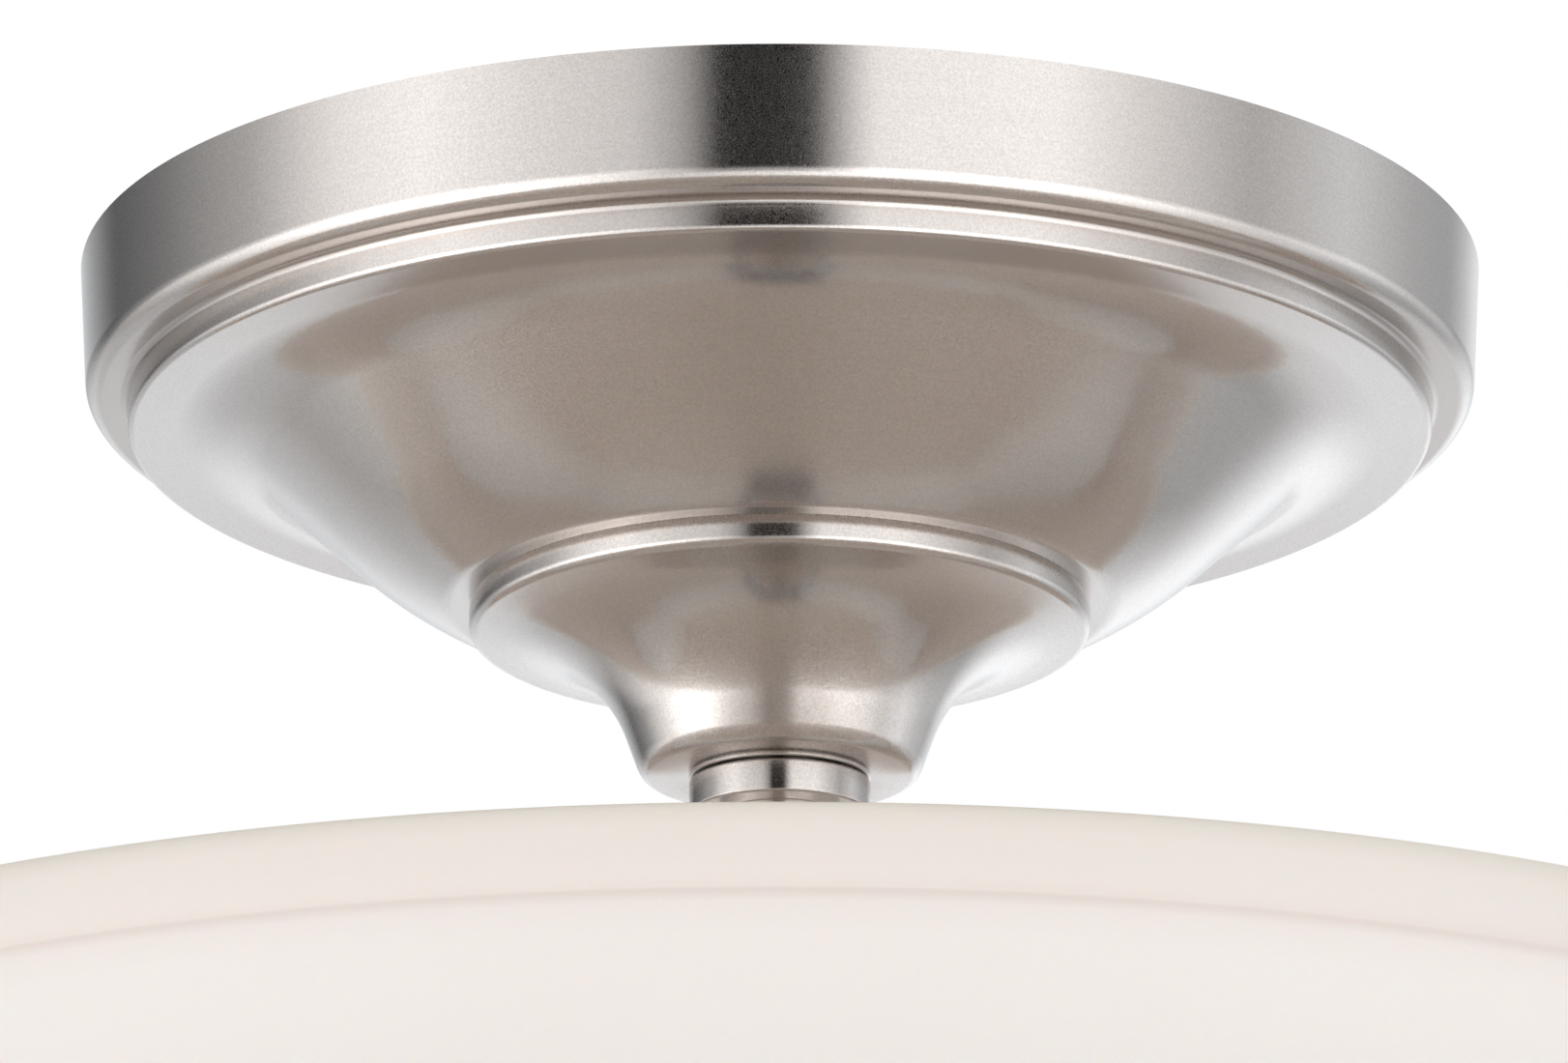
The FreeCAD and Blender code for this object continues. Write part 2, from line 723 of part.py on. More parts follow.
keep(cut("hickey", hickey_blank, hickey_top_bore, hickey_passage, hickey_seat, hickey_window))

# Ground screw: its head clamps the ground lead against the crossbar

ground_head_top = -d.bar_metal - d.ground_lead_radius * 2
ground_head_foot = ground_head_top - d.ground_head_height
keep(turned("ground_screw", [
    line(zero, ground_head_foot),
    line(d.ground_head_radius, ground_head_foot),
    line(d.ground_head_radius, ground_head_top),
    line(d.ground_screw_radius, ground_head_top),
    line(d.ground_screw_radius, -d.top_pipe_start),
    line(zero, -d.top_pipe_start),
], x=d.ground_hole_reach))

# Leads: each runs through corners, with an arc tangent to both runs at every corner


def lead(name, corners, bends, radius):
    """A round lead through corners, bent by an arc of its own radius at each inner corner."""
    points = [Vector(*corner) for corner in corners]
    edges = []
    here = points[0]
    for i in range(1, len(points) - 1):
        into = points[i].sub(points[i - 1])
        out = points[i + 1].sub(points[i])
        into.normalize()
        out.normalize()
        turn = into.getAngle(out)
        reach = bends[i - 1] * math.tan(turn * half_share)
        start = points[i].sub(Vector(into).multiply(reach))
        end = points[i].add(Vector(out).multiply(reach))
        inward = Vector(out).sub(into)
        inward.normalize()
        depth = bends[i - 1] * (1 / math.cos(turn * half_share) - 1)
        middle = points[i].add(inward.multiply(depth))
        edges.append(Part.LineSegment(here, start).toShape())
        edges.append(Part.Arc(start, middle, end).toShape())
        here = end
    edges.append(Part.LineSegment(here, points[-1]).toShape())
    path = Part.Wire(edges)
    first = points[1].sub(points[0])
    section = Part.Wire(Part.makeCircle(radius, points[0], first))
    shape = path.makePipeShell([section], True, False)
    straight = math.pi * radius ** 2 * path.Length
    if abs(shape.Volume / straight - 1) > volume_tolerance_share:
        raise ValueError(f"{name}: volume {shape.Volume} for {straight}")
    return shape


lead_offset = d.lead_pitch * half_share
bracket_inner = d.bracket_half_width - d.bracket_metal
lead_end = d.wire_nut_reach + d.lead_grip
for name, turn in (("live_leads", 1), ("neutral_leads", -1)):
    shapes = []
    for side in (-1, 1):
        across = side * lead_offset.number
        corners = [
            (side * d.bracket_half_width.number, turn * d.lead_side_reach.number, -d.lamp_axis_depth.number),
            (side * d.lead_bend_reach.number * half_share, turn * d.lead_side_reach.number,
             -d.lamp_axis_depth.number),
            (across, turn * lead_offset.number, -d.lead_rise_depth.number),
            (across, turn * lead_offset.number, -d.lead_turn_depth.number),
            (across, turn * lead_end.number, -d.lead_turn_depth.number),
        ]
        bend = d.lead_bend_radius.number
        bends = [bend, bend * slanted_bend_share, bend]
        shapes.append(lead(f"{name} {side_names[side]}", corners, bends, d.lead_radius.number))
    item = doc.addObject("Part::Feature", name)
    item.Shape = Part.Compound(shapes)
    item.Label = name
    keep(place(item))

ground_lead_side = d.ground_hole_reach - d.ground_screw_radius - d.ground_lead_radius - d.running_gap
ground_nut_depth = d.bar_metal + d.ground_lead_radius + d.ground_lead_drop
ground_corners = [
    (ground_lead_side.number, -d.ground_head_radius.number, -(d.bar_metal + d.ground_lead_radius).number),
    (ground_lead_side.number, bar_side.number, -(d.bar_metal + d.ground_lead_radius).number),
    (ground_lead_side.number, (bar_side + d.ground_lead_drop * half_share).number,
     -ground_nut_depth.number),
    (ground_lead_side.number, lead_end.number, -ground_nut_depth.number),
]
ground_bend = d.lead_bend_radius.number
ground_lead = doc.addObject("Part::Feature", "ground_lead")
ground_lead.Shape = lead("ground lead", ground_corners, [ground_bend, ground_bend],
                         d.ground_lead_radius.number)
ground_lead.Label = "ground_lead"
keep(place(ground_lead))

# Wire nuts: blind tapered caps, with their mouths towards the stem


def wire_nut(label, turn, bore_radius, x, depth):
    return turned(label, [
        line(bore_radius, zero),
        line(d.wire_nut_mouth_radius, zero),
        line(d.wire_nut_tip_radius, d.wire_nut_length),
        line(zero, d.wire_nut_length),
        line(zero, d.wire_nut_bore_depth),
        line(bore_radius, d.wire_nut_bore_depth),
    ], x=x, y=signs[turn] * d.wire_nut_reach, z=-depth, rotation=along_y[turn])


keep(wire_nut("live_wire_nut", 1, d.wire_nut_bore_radius, zero, d.lead_turn_depth))
keep(wire_nut("neutral_wire_nut", -1, d.wire_nut_bore_radius, zero, d.lead_turn_depth))
keep(wire_nut("ground_wire_nut", 1, d.ground_lead_radius + d.seat_gap, ground_lead_side, ground_nut_depth))

# Stem nipple and its locknut: they hang the lamp bracket from the stem

keep(ring("stem_nipple", d.pipe_bore_radius, d.pipe_radius,
          d.stem_nipple_foot - d.stem_nipple_top, -d.stem_nipple_foot))
keep(nut("stem_locknut", d.nut_flats, d.nut_height, pipe_hole_radius,
         -d.stem_depth - d.bracket_metal - d.nut_height))

# Lamp bracket: a strap bent into a closed frame, drilled for the pipe, the rod, the leads and
# the lampholders' screws

bracket_top = -d.stem_depth
bracket_foot = bracket_top - d.bracket_height
inner_top = bracket_top - d.bracket_metal
inner_foot = bracket_foot + d.bracket_metal
inner_bend = d.bracket_bend - d.bracket_metal


def frame_outline(half_width, foot, top, bend):
    return [
        curve(-half_width + bend, foot),
        line(half_width - bend, foot),
        curve(half_width, foot + bend),
        line(half_width, top - bend),
        curve(half_width - bend, top),
        line(bend - half_width, top),
        curve(-half_width, top - bend),
        line(-half_width, foot + bend),
    ]


bracket_blank = extruded(
    "lamp_bracket_blank", "XZ_Plane",
    frame_outline(d.bracket_half_width, bracket_foot, bracket_top, d.bracket_bend), d.bracket_depth,
    centred=True)
bracket_hollow = extruded(
    "lamp_bracket_hollow", "XZ_Plane",
    frame_outline(bracket_inner, inner_foot, inner_top, inner_bend), d.bracket_depth + d.cut_overrun,
    centred=True)
drill_length = (d.bracket_half_width + d.cut_overrun) * 2
drill_start = -d.bracket_half_width - d.cut_overrun
bracket_tools = [
    bracket_hollow,
    cylinder("bracket_pipe_hole", pipe_hole_radius, d.bracket_metal + d.cut_overrun * 2,
             z=inner_top - d.cut_overrun),
    cylinder("bracket_rod_hole", d.rod_radius + d.running_gap, d.bracket_metal + d.cut_overrun * 2,
             z=bracket_foot - d.cut_overrun),
]
for turn in (-1, 1):
    bracket_tools.append(cylinder(
        f"bracket_lead_hole_{turn_names[turn]}", d.lead_hole_radius, drill_length, x=drill_start,
        y=signs[turn] * d.lead_side_reach, z=-d.lamp_axis_depth, rotation=along_x[1]))
    bracket_tools.append(cylinder(
        f"bracket_screw_hole_{level_names[turn]}", d.holder_screw_radius + d.running_gap, drill_length,
        x=drill_start, z=signs[turn] * d.holder_screw_reach - d.lamp_axis_depth, rotation=along_x[1]))
keep(cut("lamp_bracket", bracket_blank, *bracket_tools))

# Lamp group: on each side a lampholder with its screw shell, centre contact and screws, and a lamp

screw_hole_depth = d.holder_screw_length - d.bracket_metal + d.loose_gap
shell_outer_radius = d.holder_bore_radius - d.loose_gap
shell_inner_radius = shell_outer_radius - d.shell_metal
shoulder_radius = d.bulb_neck_radius + (d.bulb_radius - d.bulb_neck_radius) * bulb_shoulder_share
shoulder_reach = (
    d.bulb_neck_length + (d.bulb_centre_reach - d.bulb_neck_length) * bulb_shoulder_share)
knee_share, rise_share, crown_share = contact_knee_shares
shoulder_lean = slope_after(shoulder_reach - d.bulb_neck_length, shoulder_radius - d.bulb_neck_radius)
half_contact = d.contact_length * half_share
contact_rise = d.contact_height - d.contact_metal
screws = []
for side in (-1, 1):
    name = side_names[side]
    mirror = signs[side]
    lie = along_x[side]
    holder_blank = turned(f"lampholder_{name}_blank", [
        line(zero, zero),
        line(d.holder_radius, zero),
        line(d.holder_radius, d.holder_length - d.holder_round),
        curve(d.holder_radius - d.holder_round, d.holder_length),
        line(d.holder_bore_radius, d.holder_length),
        line(d.holder_bore_radius, d.holder_base),
        line(zero, d.holder_base),
    ], x=mirror * d.bracket_half_width, z=-d.lamp_axis_depth, rotation=lie)
    holder_tools = []
    for turn in (-1, 1):
        screw_height = signs[turn] * d.holder_screw_reach - d.lamp_axis_depth
        holder_tools.append(cylinder(
            f"lampholder_{name}_hole_{level_names[turn]}", d.holder_screw_radius + d.running_gap,
            screw_hole_depth + d.cut_overrun, x=mirror * (d.bracket_half_width - d.cut_overrun),
            z=screw_height, rotation=lie))
        screws.append(turned(f"holder_screw_{name}_{level_names[turn]}", [
            line(zero, -d.holder_head_height),
            line(d.holder_head_radius, -d.holder_head_height),
            line(d.holder_head_radius, zero),
            line(d.holder_screw_radius, zero),
            line(d.holder_screw_radius, d.holder_screw_length),
            line(zero, d.holder_screw_length),
        ], x=mirror * bracket_inner, z=screw_height, rotation=lie))
    keep(cut(f"lampholder_{name}", holder_blank, *holder_tools))
    keep(turned(f"screw_shell_{name}", [
        line(d.shell_floor_radius, d.shell_start),
        line(shell_outer_radius, d.shell_start),
        line(shell_outer_radius, d.shell_start + d.shell_length),
        line(shell_inner_radius, d.shell_start + d.shell_length),
        line(shell_inner_radius, d.shell_start + d.shell_metal),
        line(d.shell_floor_radius, d.shell_start + d.shell_metal),
    ], x=mirror * d.bracket_half_width, z=-d.lamp_axis_depth, rotation=lie))
    keep(extruded(f"centre_contact_{name}", "XZ_Plane", [
        line(-half_contact, zero),
        line(-half_contact * rise_share, zero),
        line(-half_contact * knee_share, contact_rise),
        line(half_contact * knee_share, contact_rise),
        line(half_contact * rise_share, zero),
        line(half_contact, zero),
        line(half_contact, d.contact_metal),
        line(half_contact * (rise_share + crown_share - knee_share), d.contact_metal),
        line(half_contact * crown_share, d.contact_height),
        line(-half_contact * crown_share, d.contact_height),
        line(-half_contact * (rise_share + crown_share - knee_share), d.contact_metal),
        line(-half_contact, d.contact_metal),
    ], d.contact_width, centred=True, x=mirror * (d.bracket_half_width + d.holder_base),
        z=-d.lamp_axis_depth, rotation=lie))
    bulb_glass = turned(f"bulb_glass_{name}", [
        line(zero, d.cap_length),
        line(d.bulb_neck_radius, d.cap_length),
        line(d.bulb_neck_radius, d.bulb_neck_length),
        curve(shoulder_radius, shoulder_reach),
        curve(d.bulb_radius, d.bulb_centre_reach),
        curve(zero, d.bulb_centre_reach + d.bulb_radius),
    ], x=mirror * lamp_start, z=-d.lamp_axis_depth, rotation=lie)
    keep(hollowed(bulb_glass, [
        line(zero, d.cap_length - d.cut_overrun),
        line(d.bulb_neck_radius - d.bulb_wall, d.cap_length - d.cut_overrun),
        line(d.bulb_neck_radius - d.bulb_wall, d.bulb_neck_length),
        curve(shoulder_radius - d.bulb_wall * cosine(shoulder_lean),
              shoulder_reach + d.bulb_wall * sine(shoulder_lean)),
        curve(d.bulb_radius - d.bulb_wall, d.bulb_centre_reach),
        curve(zero, d.bulb_centre_reach + d.bulb_radius - d.bulb_wall),
    ]))
    keep(turned(f"bulb_cap_{name}", [
        line(zero, d.cap_start),
        line(d.cap_foot_radius, d.cap_start),
        line(d.cap_cone_radius, d.cap_cone_length),
        line(d.cap_radius, d.cap_cone_length + d.cap_start * tip_face_share),
        line(d.cap_radius, d.cap_length),
        line(zero, d.cap_length),
    ], x=mirror * lamp_start, z=-d.lamp_axis_depth, rotation=lie))
    keep(turned(f"bulb_tip_{name}", [
        line(zero, zero),
        line(d.tip_radius * tip_face_share, zero),
        line(d.tip_radius, d.cap_start * tip_edge_share),
        line(d.tip_radius, d.cap_start),
        line(zero, d.cap_start),
    ], x=mirror * lamp_start, z=-d.lamp_axis_depth, rotation=lie))
keep(group("holder_screws", *screws))

# Shade rod and its nuts: the rod stands on the bracket's lower web

rod_hole_radius = d.rod_radius + d.running_gap
rod_top = inner_foot + d.rod_top_reach
keep(cylinder("shade_rod", d.rod_radius, rod_top - rod_foot, z=rod_foot))
keep(group(
    "rod_nuts",
    nut("upper_rod_nut", d.rod_nut_flats, d.rod_nut_height, rod_hole_radius, inner_foot),
    nut("lower_rod_nut", d.rod_nut_flats, d.rod_nut_height, rod_hole_radius,
        bracket_foot - d.rod_nut_height)))
seat_top = d.glass_wall - d.shade_seat_depth
cushion_foot = seat_top + d.seat_gap
washer_foot = cushion_foot + d.cushion_height
keep(ring("upper_cushion", rod_hole_radius, d.cushion_radius, d.cushion_height, cushion_foot))
keep(ring("upper_washer", rod_hole_radius, d.washer_radius, d.washer_height, washer_foot))
keep(nut("stop_nut", d.rod_nut_flats, d.rod_nut_height, rod_hole_radius, washer_foot + d.washer_height))

# Glass shade: a bead around the rim, a crease under it, a straight neck, then a full bowl down
# to a flat seat with a hole for the rod. The inner line runs one wall inside the outer one.

side_slope = slope_of(d.shade_neck_radius - d.shade_side_radius, d.shade_side_depth - bead_foot)
shade_shoulder_slope = slope_between(
    side_slope, d.shade_side_radius - d.shade_shoulder_radius, d.shade_shoulder_depth - d.shade_side_depth)
rim_inner_radius = d.shade_side_radius - d.glass_wall + d.loose_gap
keep(turned("glass_shade", [
    line(d.shade_hole_radius, -d.shade_seat_depth),
    line(d.shade_hole_radius, seat_top),
    line(d.shade_seat_radius, seat_top),
    curve(d.shade_shoulder_radius - d.glass_wall * sine(shade_shoulder_slope),
          d.glass_wall * cosine(shade_shoulder_slope) - d.shade_shoulder_depth),
    curve(d.shade_side_radius - d.glass_wall, -d.shade_side_depth),
    line(rim_inner_radius, -d.shade_top_depth - d.rim_round),
    curve(rim_inner_radius + d.rim_round, -d.shade_top_depth),
    line(d.bead_crown_radius, -d.shade_top_depth),
    curve(d.shade_radius, -d.shade_top_depth - d.bead_crown_drop),
    curve(d.shade_neck_radius, -bead_foot),
    line(d.shade_side_radius, -d.shade_side_depth),
    curve(d.shade_shoulder_radius, -d.shade_shoulder_depth),
    curve(d.shade_seat_radius, -d.shade_seat_depth),
]))

# Lower cushion and lower cap: they carry the glass

slide_bore_radius = d.rod_radius + d.loose_gap
keep(ring("lower_cushion", slide_bore_radius, d.cushion_radius, d.cushion_height, lower_cushion_foot))
keep(turned("lower_cap", [
    line(slide_bore_radius, lower_cushion_foot),
    line(d.cushion_radius, lower_cushion_foot),
    line(lower_cap_radius - d.lower_cap_metal, cap_rim),
    line(lower_cap_radius, cap_rim),
    line(lower_cap_radius, cap_rim - d.lower_cap_lip),
    curve(lower_cap_radius - d.lower_cap_round, cap_shelf),
    line(d.lower_cap_cove_radius, cap_shelf),
    curve(d.lower_cap_foot_radius, cap_cove_foot),
    line(d.lower_cap_foot_radius, cap_foot),
    line(slide_bore_radius, cap_foot),
]))

# Finial: a disc, a short neck and a ball, with a blind bore for the rod. Its heights run down
# from its upper face.

ball_neck = d.finial_neck_radius
ball_meet_radius = d.finial_ball_radius * cosine(d.finial_ball_angle)
ball_meet_height = d.finial_ball_radius * sine(d.finial_ball_angle) - d.finial_ball_drop
ball_cone_rise = (ball_meet_radius - ball_neck) * cosine(d.finial_ball_angle) / sine(d.finial_ball_angle)
keep(turned("finial", [
    line(zero, -d.finial_bore_depth),
    line(rod_hole_radius, -d.finial_bore_depth),
    line(rod_hole_radius, zero),
    line(d.finial_disc_radius - d.finial_round, zero),
    curve(d.finial_disc_radius, -d.finial_round),
    line(d.finial_disc_radius, d.finial_round - d.finial_disc_height),
    curve(d.finial_disc_radius - d.finial_round, -d.finial_disc_height),
    line(ball_neck + d.finial_round, -d.finial_disc_height),
    curve(ball_neck, -d.finial_disc_height - d.finial_round),
    line(ball_neck, ball_meet_height + ball_cone_rise),
    line(ball_meet_radius, ball_meet_height),
    curve(d.finial_ball_radius, -d.finial_ball_drop),
    curve(zero, -d.finial_ball_drop - d.finial_ball_radius),
], z=finial_top))

# Every object has to be sound before any file is written

doc.recompute()
for item in doc.Objects:
    if "Invalid" in item.State or "Error" in item.State:
        raise ValueError(f"{item.Label}: {item.State}")
for item in nodes:
    if item.Shape.isNull() or not item.Shape.isValid():
        raise ValueError(f"{item.Label}: no sound shape")
    if item.Shape.Volume <= 0:
        raise ValueError(f"{item.Label}: no volume")
for item in nodes:
    item.Shape.exportStep(f"parts/{item.Label}.step")
    print(item.Label, round(item.Shape.Volume), len(item.Shape.Solids))
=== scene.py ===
import json
import math

import bpy
import numpy as np
from mathutils import Euler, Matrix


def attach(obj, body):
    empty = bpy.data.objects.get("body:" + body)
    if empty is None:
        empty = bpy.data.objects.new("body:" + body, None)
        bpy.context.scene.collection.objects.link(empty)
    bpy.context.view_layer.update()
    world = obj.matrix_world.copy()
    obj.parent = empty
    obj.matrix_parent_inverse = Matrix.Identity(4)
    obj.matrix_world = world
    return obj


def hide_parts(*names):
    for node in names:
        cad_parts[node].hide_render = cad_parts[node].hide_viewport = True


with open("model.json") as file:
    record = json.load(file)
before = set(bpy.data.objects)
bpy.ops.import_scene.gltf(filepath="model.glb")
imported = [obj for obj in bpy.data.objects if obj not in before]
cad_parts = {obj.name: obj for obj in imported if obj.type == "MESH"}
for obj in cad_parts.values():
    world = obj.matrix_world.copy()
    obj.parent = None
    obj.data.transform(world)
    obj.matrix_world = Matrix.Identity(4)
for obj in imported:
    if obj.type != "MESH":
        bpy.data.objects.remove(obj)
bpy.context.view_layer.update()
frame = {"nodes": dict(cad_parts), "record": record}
nodes = frame["nodes"]

# Lengths of the pieces are in millimetres, and those of the finishes and the studio in metres,
# from the centre of the canopy's upper rim.
MM = 0.001

# A radius or a span below this is nothing, in millimetres, and a turn below that is straight,
# in radians.
NOTHING = 1e-7
STRAIGHT = 0.01

# Pitches of the visible threads, and the points along each turn of one
NIPPLE_PITCH = 0.94
LAMP_PITCH = 3.63
ROD_PITCH = 0.8
ROWS_PER_TURN = 10


# Outlines: half sections made of lines and of arcs tangent to the edge before them


def line(across, up, soft=0.08, rows=0):
    """A straight edge to a corner, which is softened by an arc of radius soft.

    The edge has as many points between its ends as rows says.
    """
    return ("line", across, up, soft, rows)


def curve(across, up):
    """An arc to a corner, tangent to the edge before it."""
    return ("curve", across, up, 0.0, 0)


def tube(bore, radius, start, end, bore_soft, soft):
    """The outline of a ring or tube that reaches from one height to another."""
    return [line(bore, start, bore_soft), line(radius, start, soft), line(radius, end, soft),
            line(bore, end, bore_soft)]


def unit(vector):
    """A flat vector's direction."""
    return vector / np.hypot(*vector)


def turned_by(vector, angle):
    """A flat vector turned by each of several angles, in radians."""
    c, s = np.cos(angle), np.sin(angle)
    return np.stack([c * vector[0] - s * vector[1], s * vector[0] + c * vector[1]], axis=-1)


def arc_points(start, heading, end, sagitta=0.004, fewest=4):
    """Points and headings along the arc that leaves start along heading and reaches end.

    The arc turns by twice the angle between the heading and the chord, so its radius is half
    the chord over the sine of that angle. A point is the start plus the chord of the part of
    the arc behind it, which lies along the heading turned by half of that part's turn. No
    step strays from the arc by more than the sagitta, and there are never fewer than fewest.
    """
    chord = end - start
    turn = 2 * math.atan2(heading[0] * chord[1] - heading[1] * chord[0], heading @ chord)
    radius = np.hypot(*chord) / (2 * abs(math.sin(turn / 2)))
    widest = 2 * math.acos(1 - min(1.0, sagitta / radius))
    steps = max(fewest, int(abs(turn) / widest) + 1)
    share = np.linspace(0, 1, steps + 1) * turn
    lengths = 2 * radius * np.abs(np.sin(share / 2))
    return start + turned_by(heading, share / 2) * lengths[:, None], turned_by(heading, share)


def chain(corners, closed):
    """Points and headings along an outline's edges, with its straight corners softened."""
    spots = np.array([(across, up) for _, across, up, _, _ in corners], float)
    count = len(corners)
    reach = count if closed else count - 1
    edges = []
    heading = None
    for i in range(reach):
        start, end = spots[i], spots[(i + 1) % count]
        kind, _, _, _, rows = corners[(i + 1) % count]
        if kind == "line":
            heading = unit(end - start)
            share = np.linspace(0, 1, rows + 2)[:, None]
            edges.append((start + (end - start) * share, np.tile(heading, (rows + 2, 1)), True))
        else:
            points, headings = arc_points(start, heading, end)
            heading = headings[-1]
            edges.append((points, headings, False))
    points, headings = [], []
    for i in range(count):
        before = edges[i - 1] if closed or i else edges[0]
        after = edges[i] if i < reach else edges[-1]
        into = before[1][-1] if closed or i else after[1][0]
        out = after[1][0] if i < reach else into
        soft = corners[i][3]
        turn = math.atan2(into[0] * out[1] - into[1] * out[0], into @ out)
        if soft and before[2] and after[2] and abs(turn) > STRAIGHT:
            cutback = soft * math.tan(abs(turn) / 2)
            bend, bend_headings = arc_points(
                spots[i] - into * cutback, into, spots[i] + out * cutback)
            points.append(bend)
            headings.append(bend_headings)
        else:
            points.append(spots[i][None])
            headings.append(unit(into + out)[None])
        if i < reach:
            points.append(after[0][1:-1])
            headings.append(after[1][1:-1])
    return np.concatenate(points), np.concatenate(headings)


def section(outer, inner=None):
    """Points and outward normals round a section: one outline, or an outer and an inner line.

    An outline that ends on the axis at both ends is closed by the axis, and any other one by an
    edge of its own. The inner line runs the same way as the outer one and is walked backwards.
    """
    on_axis = outer[0][1] == 0 and outer[-1][1] == 0
    points, headings = chain(outer, closed=inner is None and not on_axis)
    if inner is not None:
        back, back_headings = chain(inner, closed=False)
        points = np.concatenate([points, back[::-1]])
        headings = np.concatenate([headings, -back_headings[::-1]])
    ahead = np.roll(points, -1, axis=0)
    area = np.sum(points[:, 0] * ahead[:, 1] - ahead[:, 0] * points[:, 1])
    normals = np.stack([headings[:, 1], -headings[:, 0]], axis=-1) * np.sign(area)
    pole = points[:, 0] < NOTHING
    normals[pole] = np.stack([np.zeros(pole.sum()), np.sign(normals[pole, 1])], axis=-1)
    return (points, normals) if area > 0 else (points[::-1], normals[::-1])


# Meshes


def mesh_from_grid(name, grid, normals=None, crease=35):
    """A closed mesh from a grid of points, rows along the section and columns round the axis.

    Both directions close on themselves. A row whose points all meet becomes one vertex, and
    the faces beside it become triangles. Where no normals are given, edges that turn by more
    than the crease, in degrees, are sharp.
    """
    rows, columns = grid.shape[:2]
    index = np.arange(rows * columns).reshape(rows, columns)
    pole = np.ptp(grid, axis=1).max(axis=1) < NOTHING
    index[pole] = index[pole, :1]
    kept, packed = np.unique(index, return_inverse=True)
    packed = packed.reshape(rows, columns)
    ahead, beside = np.roll(packed, -1, axis=0), np.roll(packed, -1, axis=1)
    quads = np.stack([packed, beside, np.roll(beside, -1, axis=0), ahead], axis=-1)
    pole_ahead = np.roll(pole, -1)
    faces = quads[~pole & ~pole_ahead].reshape(-1, 4).tolist()
    faces += quads[pole & ~pole_ahead][..., [0, 2, 3]].reshape(-1, 3).tolist()
    faces += quads[~pole & pole_ahead][..., [0, 1, 2]].reshape(-1, 3).tolist()
    mesh = bpy.data.meshes.new(name)
    mesh.from_pydata((grid.reshape(-1, 3)[kept] * MM).tolist(), [], faces)
    mesh.polygons.foreach_set("use_smooth", np.ones(len(faces), bool))
    if normals is None:
        mesh.set_sharp_from_angle(angle=math.radians(crease))
    else:
        mesh.normals_split_custom_set_from_vertices(normals.reshape(-1, 3)[kept].tolist())
    mesh.update()
    piece = bpy.data.objects.new(name, mesh)
    bpy.context.scene.collection.objects.link(piece)
    return piece


# Each axis is a turn that lays a piece's own height along it: the images of its X, Y and Z
AXES = {
    "z": np.array([[1, 0, 0], [0, 1, 0], [0, 0, 1]], float),
    "-z": np.array([[1, 0, 0], [0, -1, 0], [0, 0, -1]], float),
    "x": np.array([[0, 0, -1], [0, 1, 0], [1, 0, 0]], float),
    "-x": np.array([[0, 0, 1], [0, 1, 0], [-1, 0, 0]], float),
    "y": np.array([[1, 0, 0], [0, 0, -1], [0, 1, 0]], float),
    "-y": np.array([[1, 0, 0], [0, 0, 1], [0, -1, 0]], float),
}


def turned(name, outer, inner=None, at=(0, 0, 0), axis="z", columns=256, relief=None):
    """A section carried round its axis: radius times cosine, radius times sine, height.

    A relief adds to the radius and to the height, as a function of the angle, the radius and
    the height. A piece without one takes its normals from its section.
    """
    points, normals = section(outer, inner)
    angle = np.arange(columns)[None, :] / columns * 2 * np.pi
    radius = np.repeat(points[:, :1], columns, axis=1)
    height = np.repeat(points[:, 1:], columns, axis=1)
    facing = None
    if relief is None:
        flat = normals[:, :1]
        facing = np.stack([flat * np.cos(angle), flat * np.sin(angle),
                           np.repeat(normals[:, 1:], columns, axis=1)], axis=-1) @ AXES[axis]
    else:
        more_radius, more_height = relief(angle, radius, height)
        radius, height = radius + more_radius, height + more_height
    grid = np.stack([radius * np.cos(angle), radius * np.sin(angle), height], axis=-1)
    return mesh_from_grid(name, grid @ AXES[axis] + np.array(at, float), facing)


def ease(value, low, high):
    """Rises smoothly from 0 at low to 1 at high."""
    share = np.clip((value - low) / (high - low), 0, 1)
    return share * share * (3 - 2 * share)


def thread(pitch, depth, low, high, inside):
    """A screw thread: radii past inside dip by a cosine of height over pitch less the angle."""
    def relief(angle, radius, height):
        wave = 0.5 - 0.5 * np.cos(2 * np.pi * height / pitch - angle)
        span = ease(height, low, low + pitch) * ease(-height, -high, pitch - high)
        return -depth * wave * span * (radius > inside), 0.0
    return relief


def flutes(count, depth, low, high, inside=3.0, fade=1.5):
    """Flutes along the height: radii past inside dip by a cosine of count times the angle."""
    def relief(angle, radius, height):
        wave = 0.5 - 0.5 * np.cos(count * angle)
        span = ease(height, low, low + fade) * ease(-height, -high, fade - high)
        return -depth * wave * span * (radius > inside), 0.0
    return relief


def within(distance, half, slope):
    """Falls smoothly from 1 to 0 where a distance passes a half width, over twice the slope."""
    return ease(-distance, -half - slope, slope - half)


def notches(count, depth, width, inside, slope=0.3):
    """Square notches round a rim: radii past inside dip near count evenly spaced angles."""
    def relief(angle, radius, height):
        turn = np.abs((angle * count / (2 * np.pi) + 0.5) % 1 - 0.5) * 2 * np.pi / count * radius
        return -depth * within(turn, width / 2, slope) * (radius > inside), 0.0
    return relief


def recess(length, width, depth, floor, slope=0.12, end_slope=0.2):
    """A crossed driver recess: heights above a floor dip within either of two crossed bars."""
    def relief(angle, radius, height):
        x, y = np.abs(radius * np.cos(angle)), np.abs(radius * np.sin(angle))
        long, short = np.maximum(x, y), np.minimum(x, y)
        dip = within(short, width / 2, slope) * within(long, length / 2, end_slope)
        return 0.0, -depth * dip * (height > floor)
    return relief


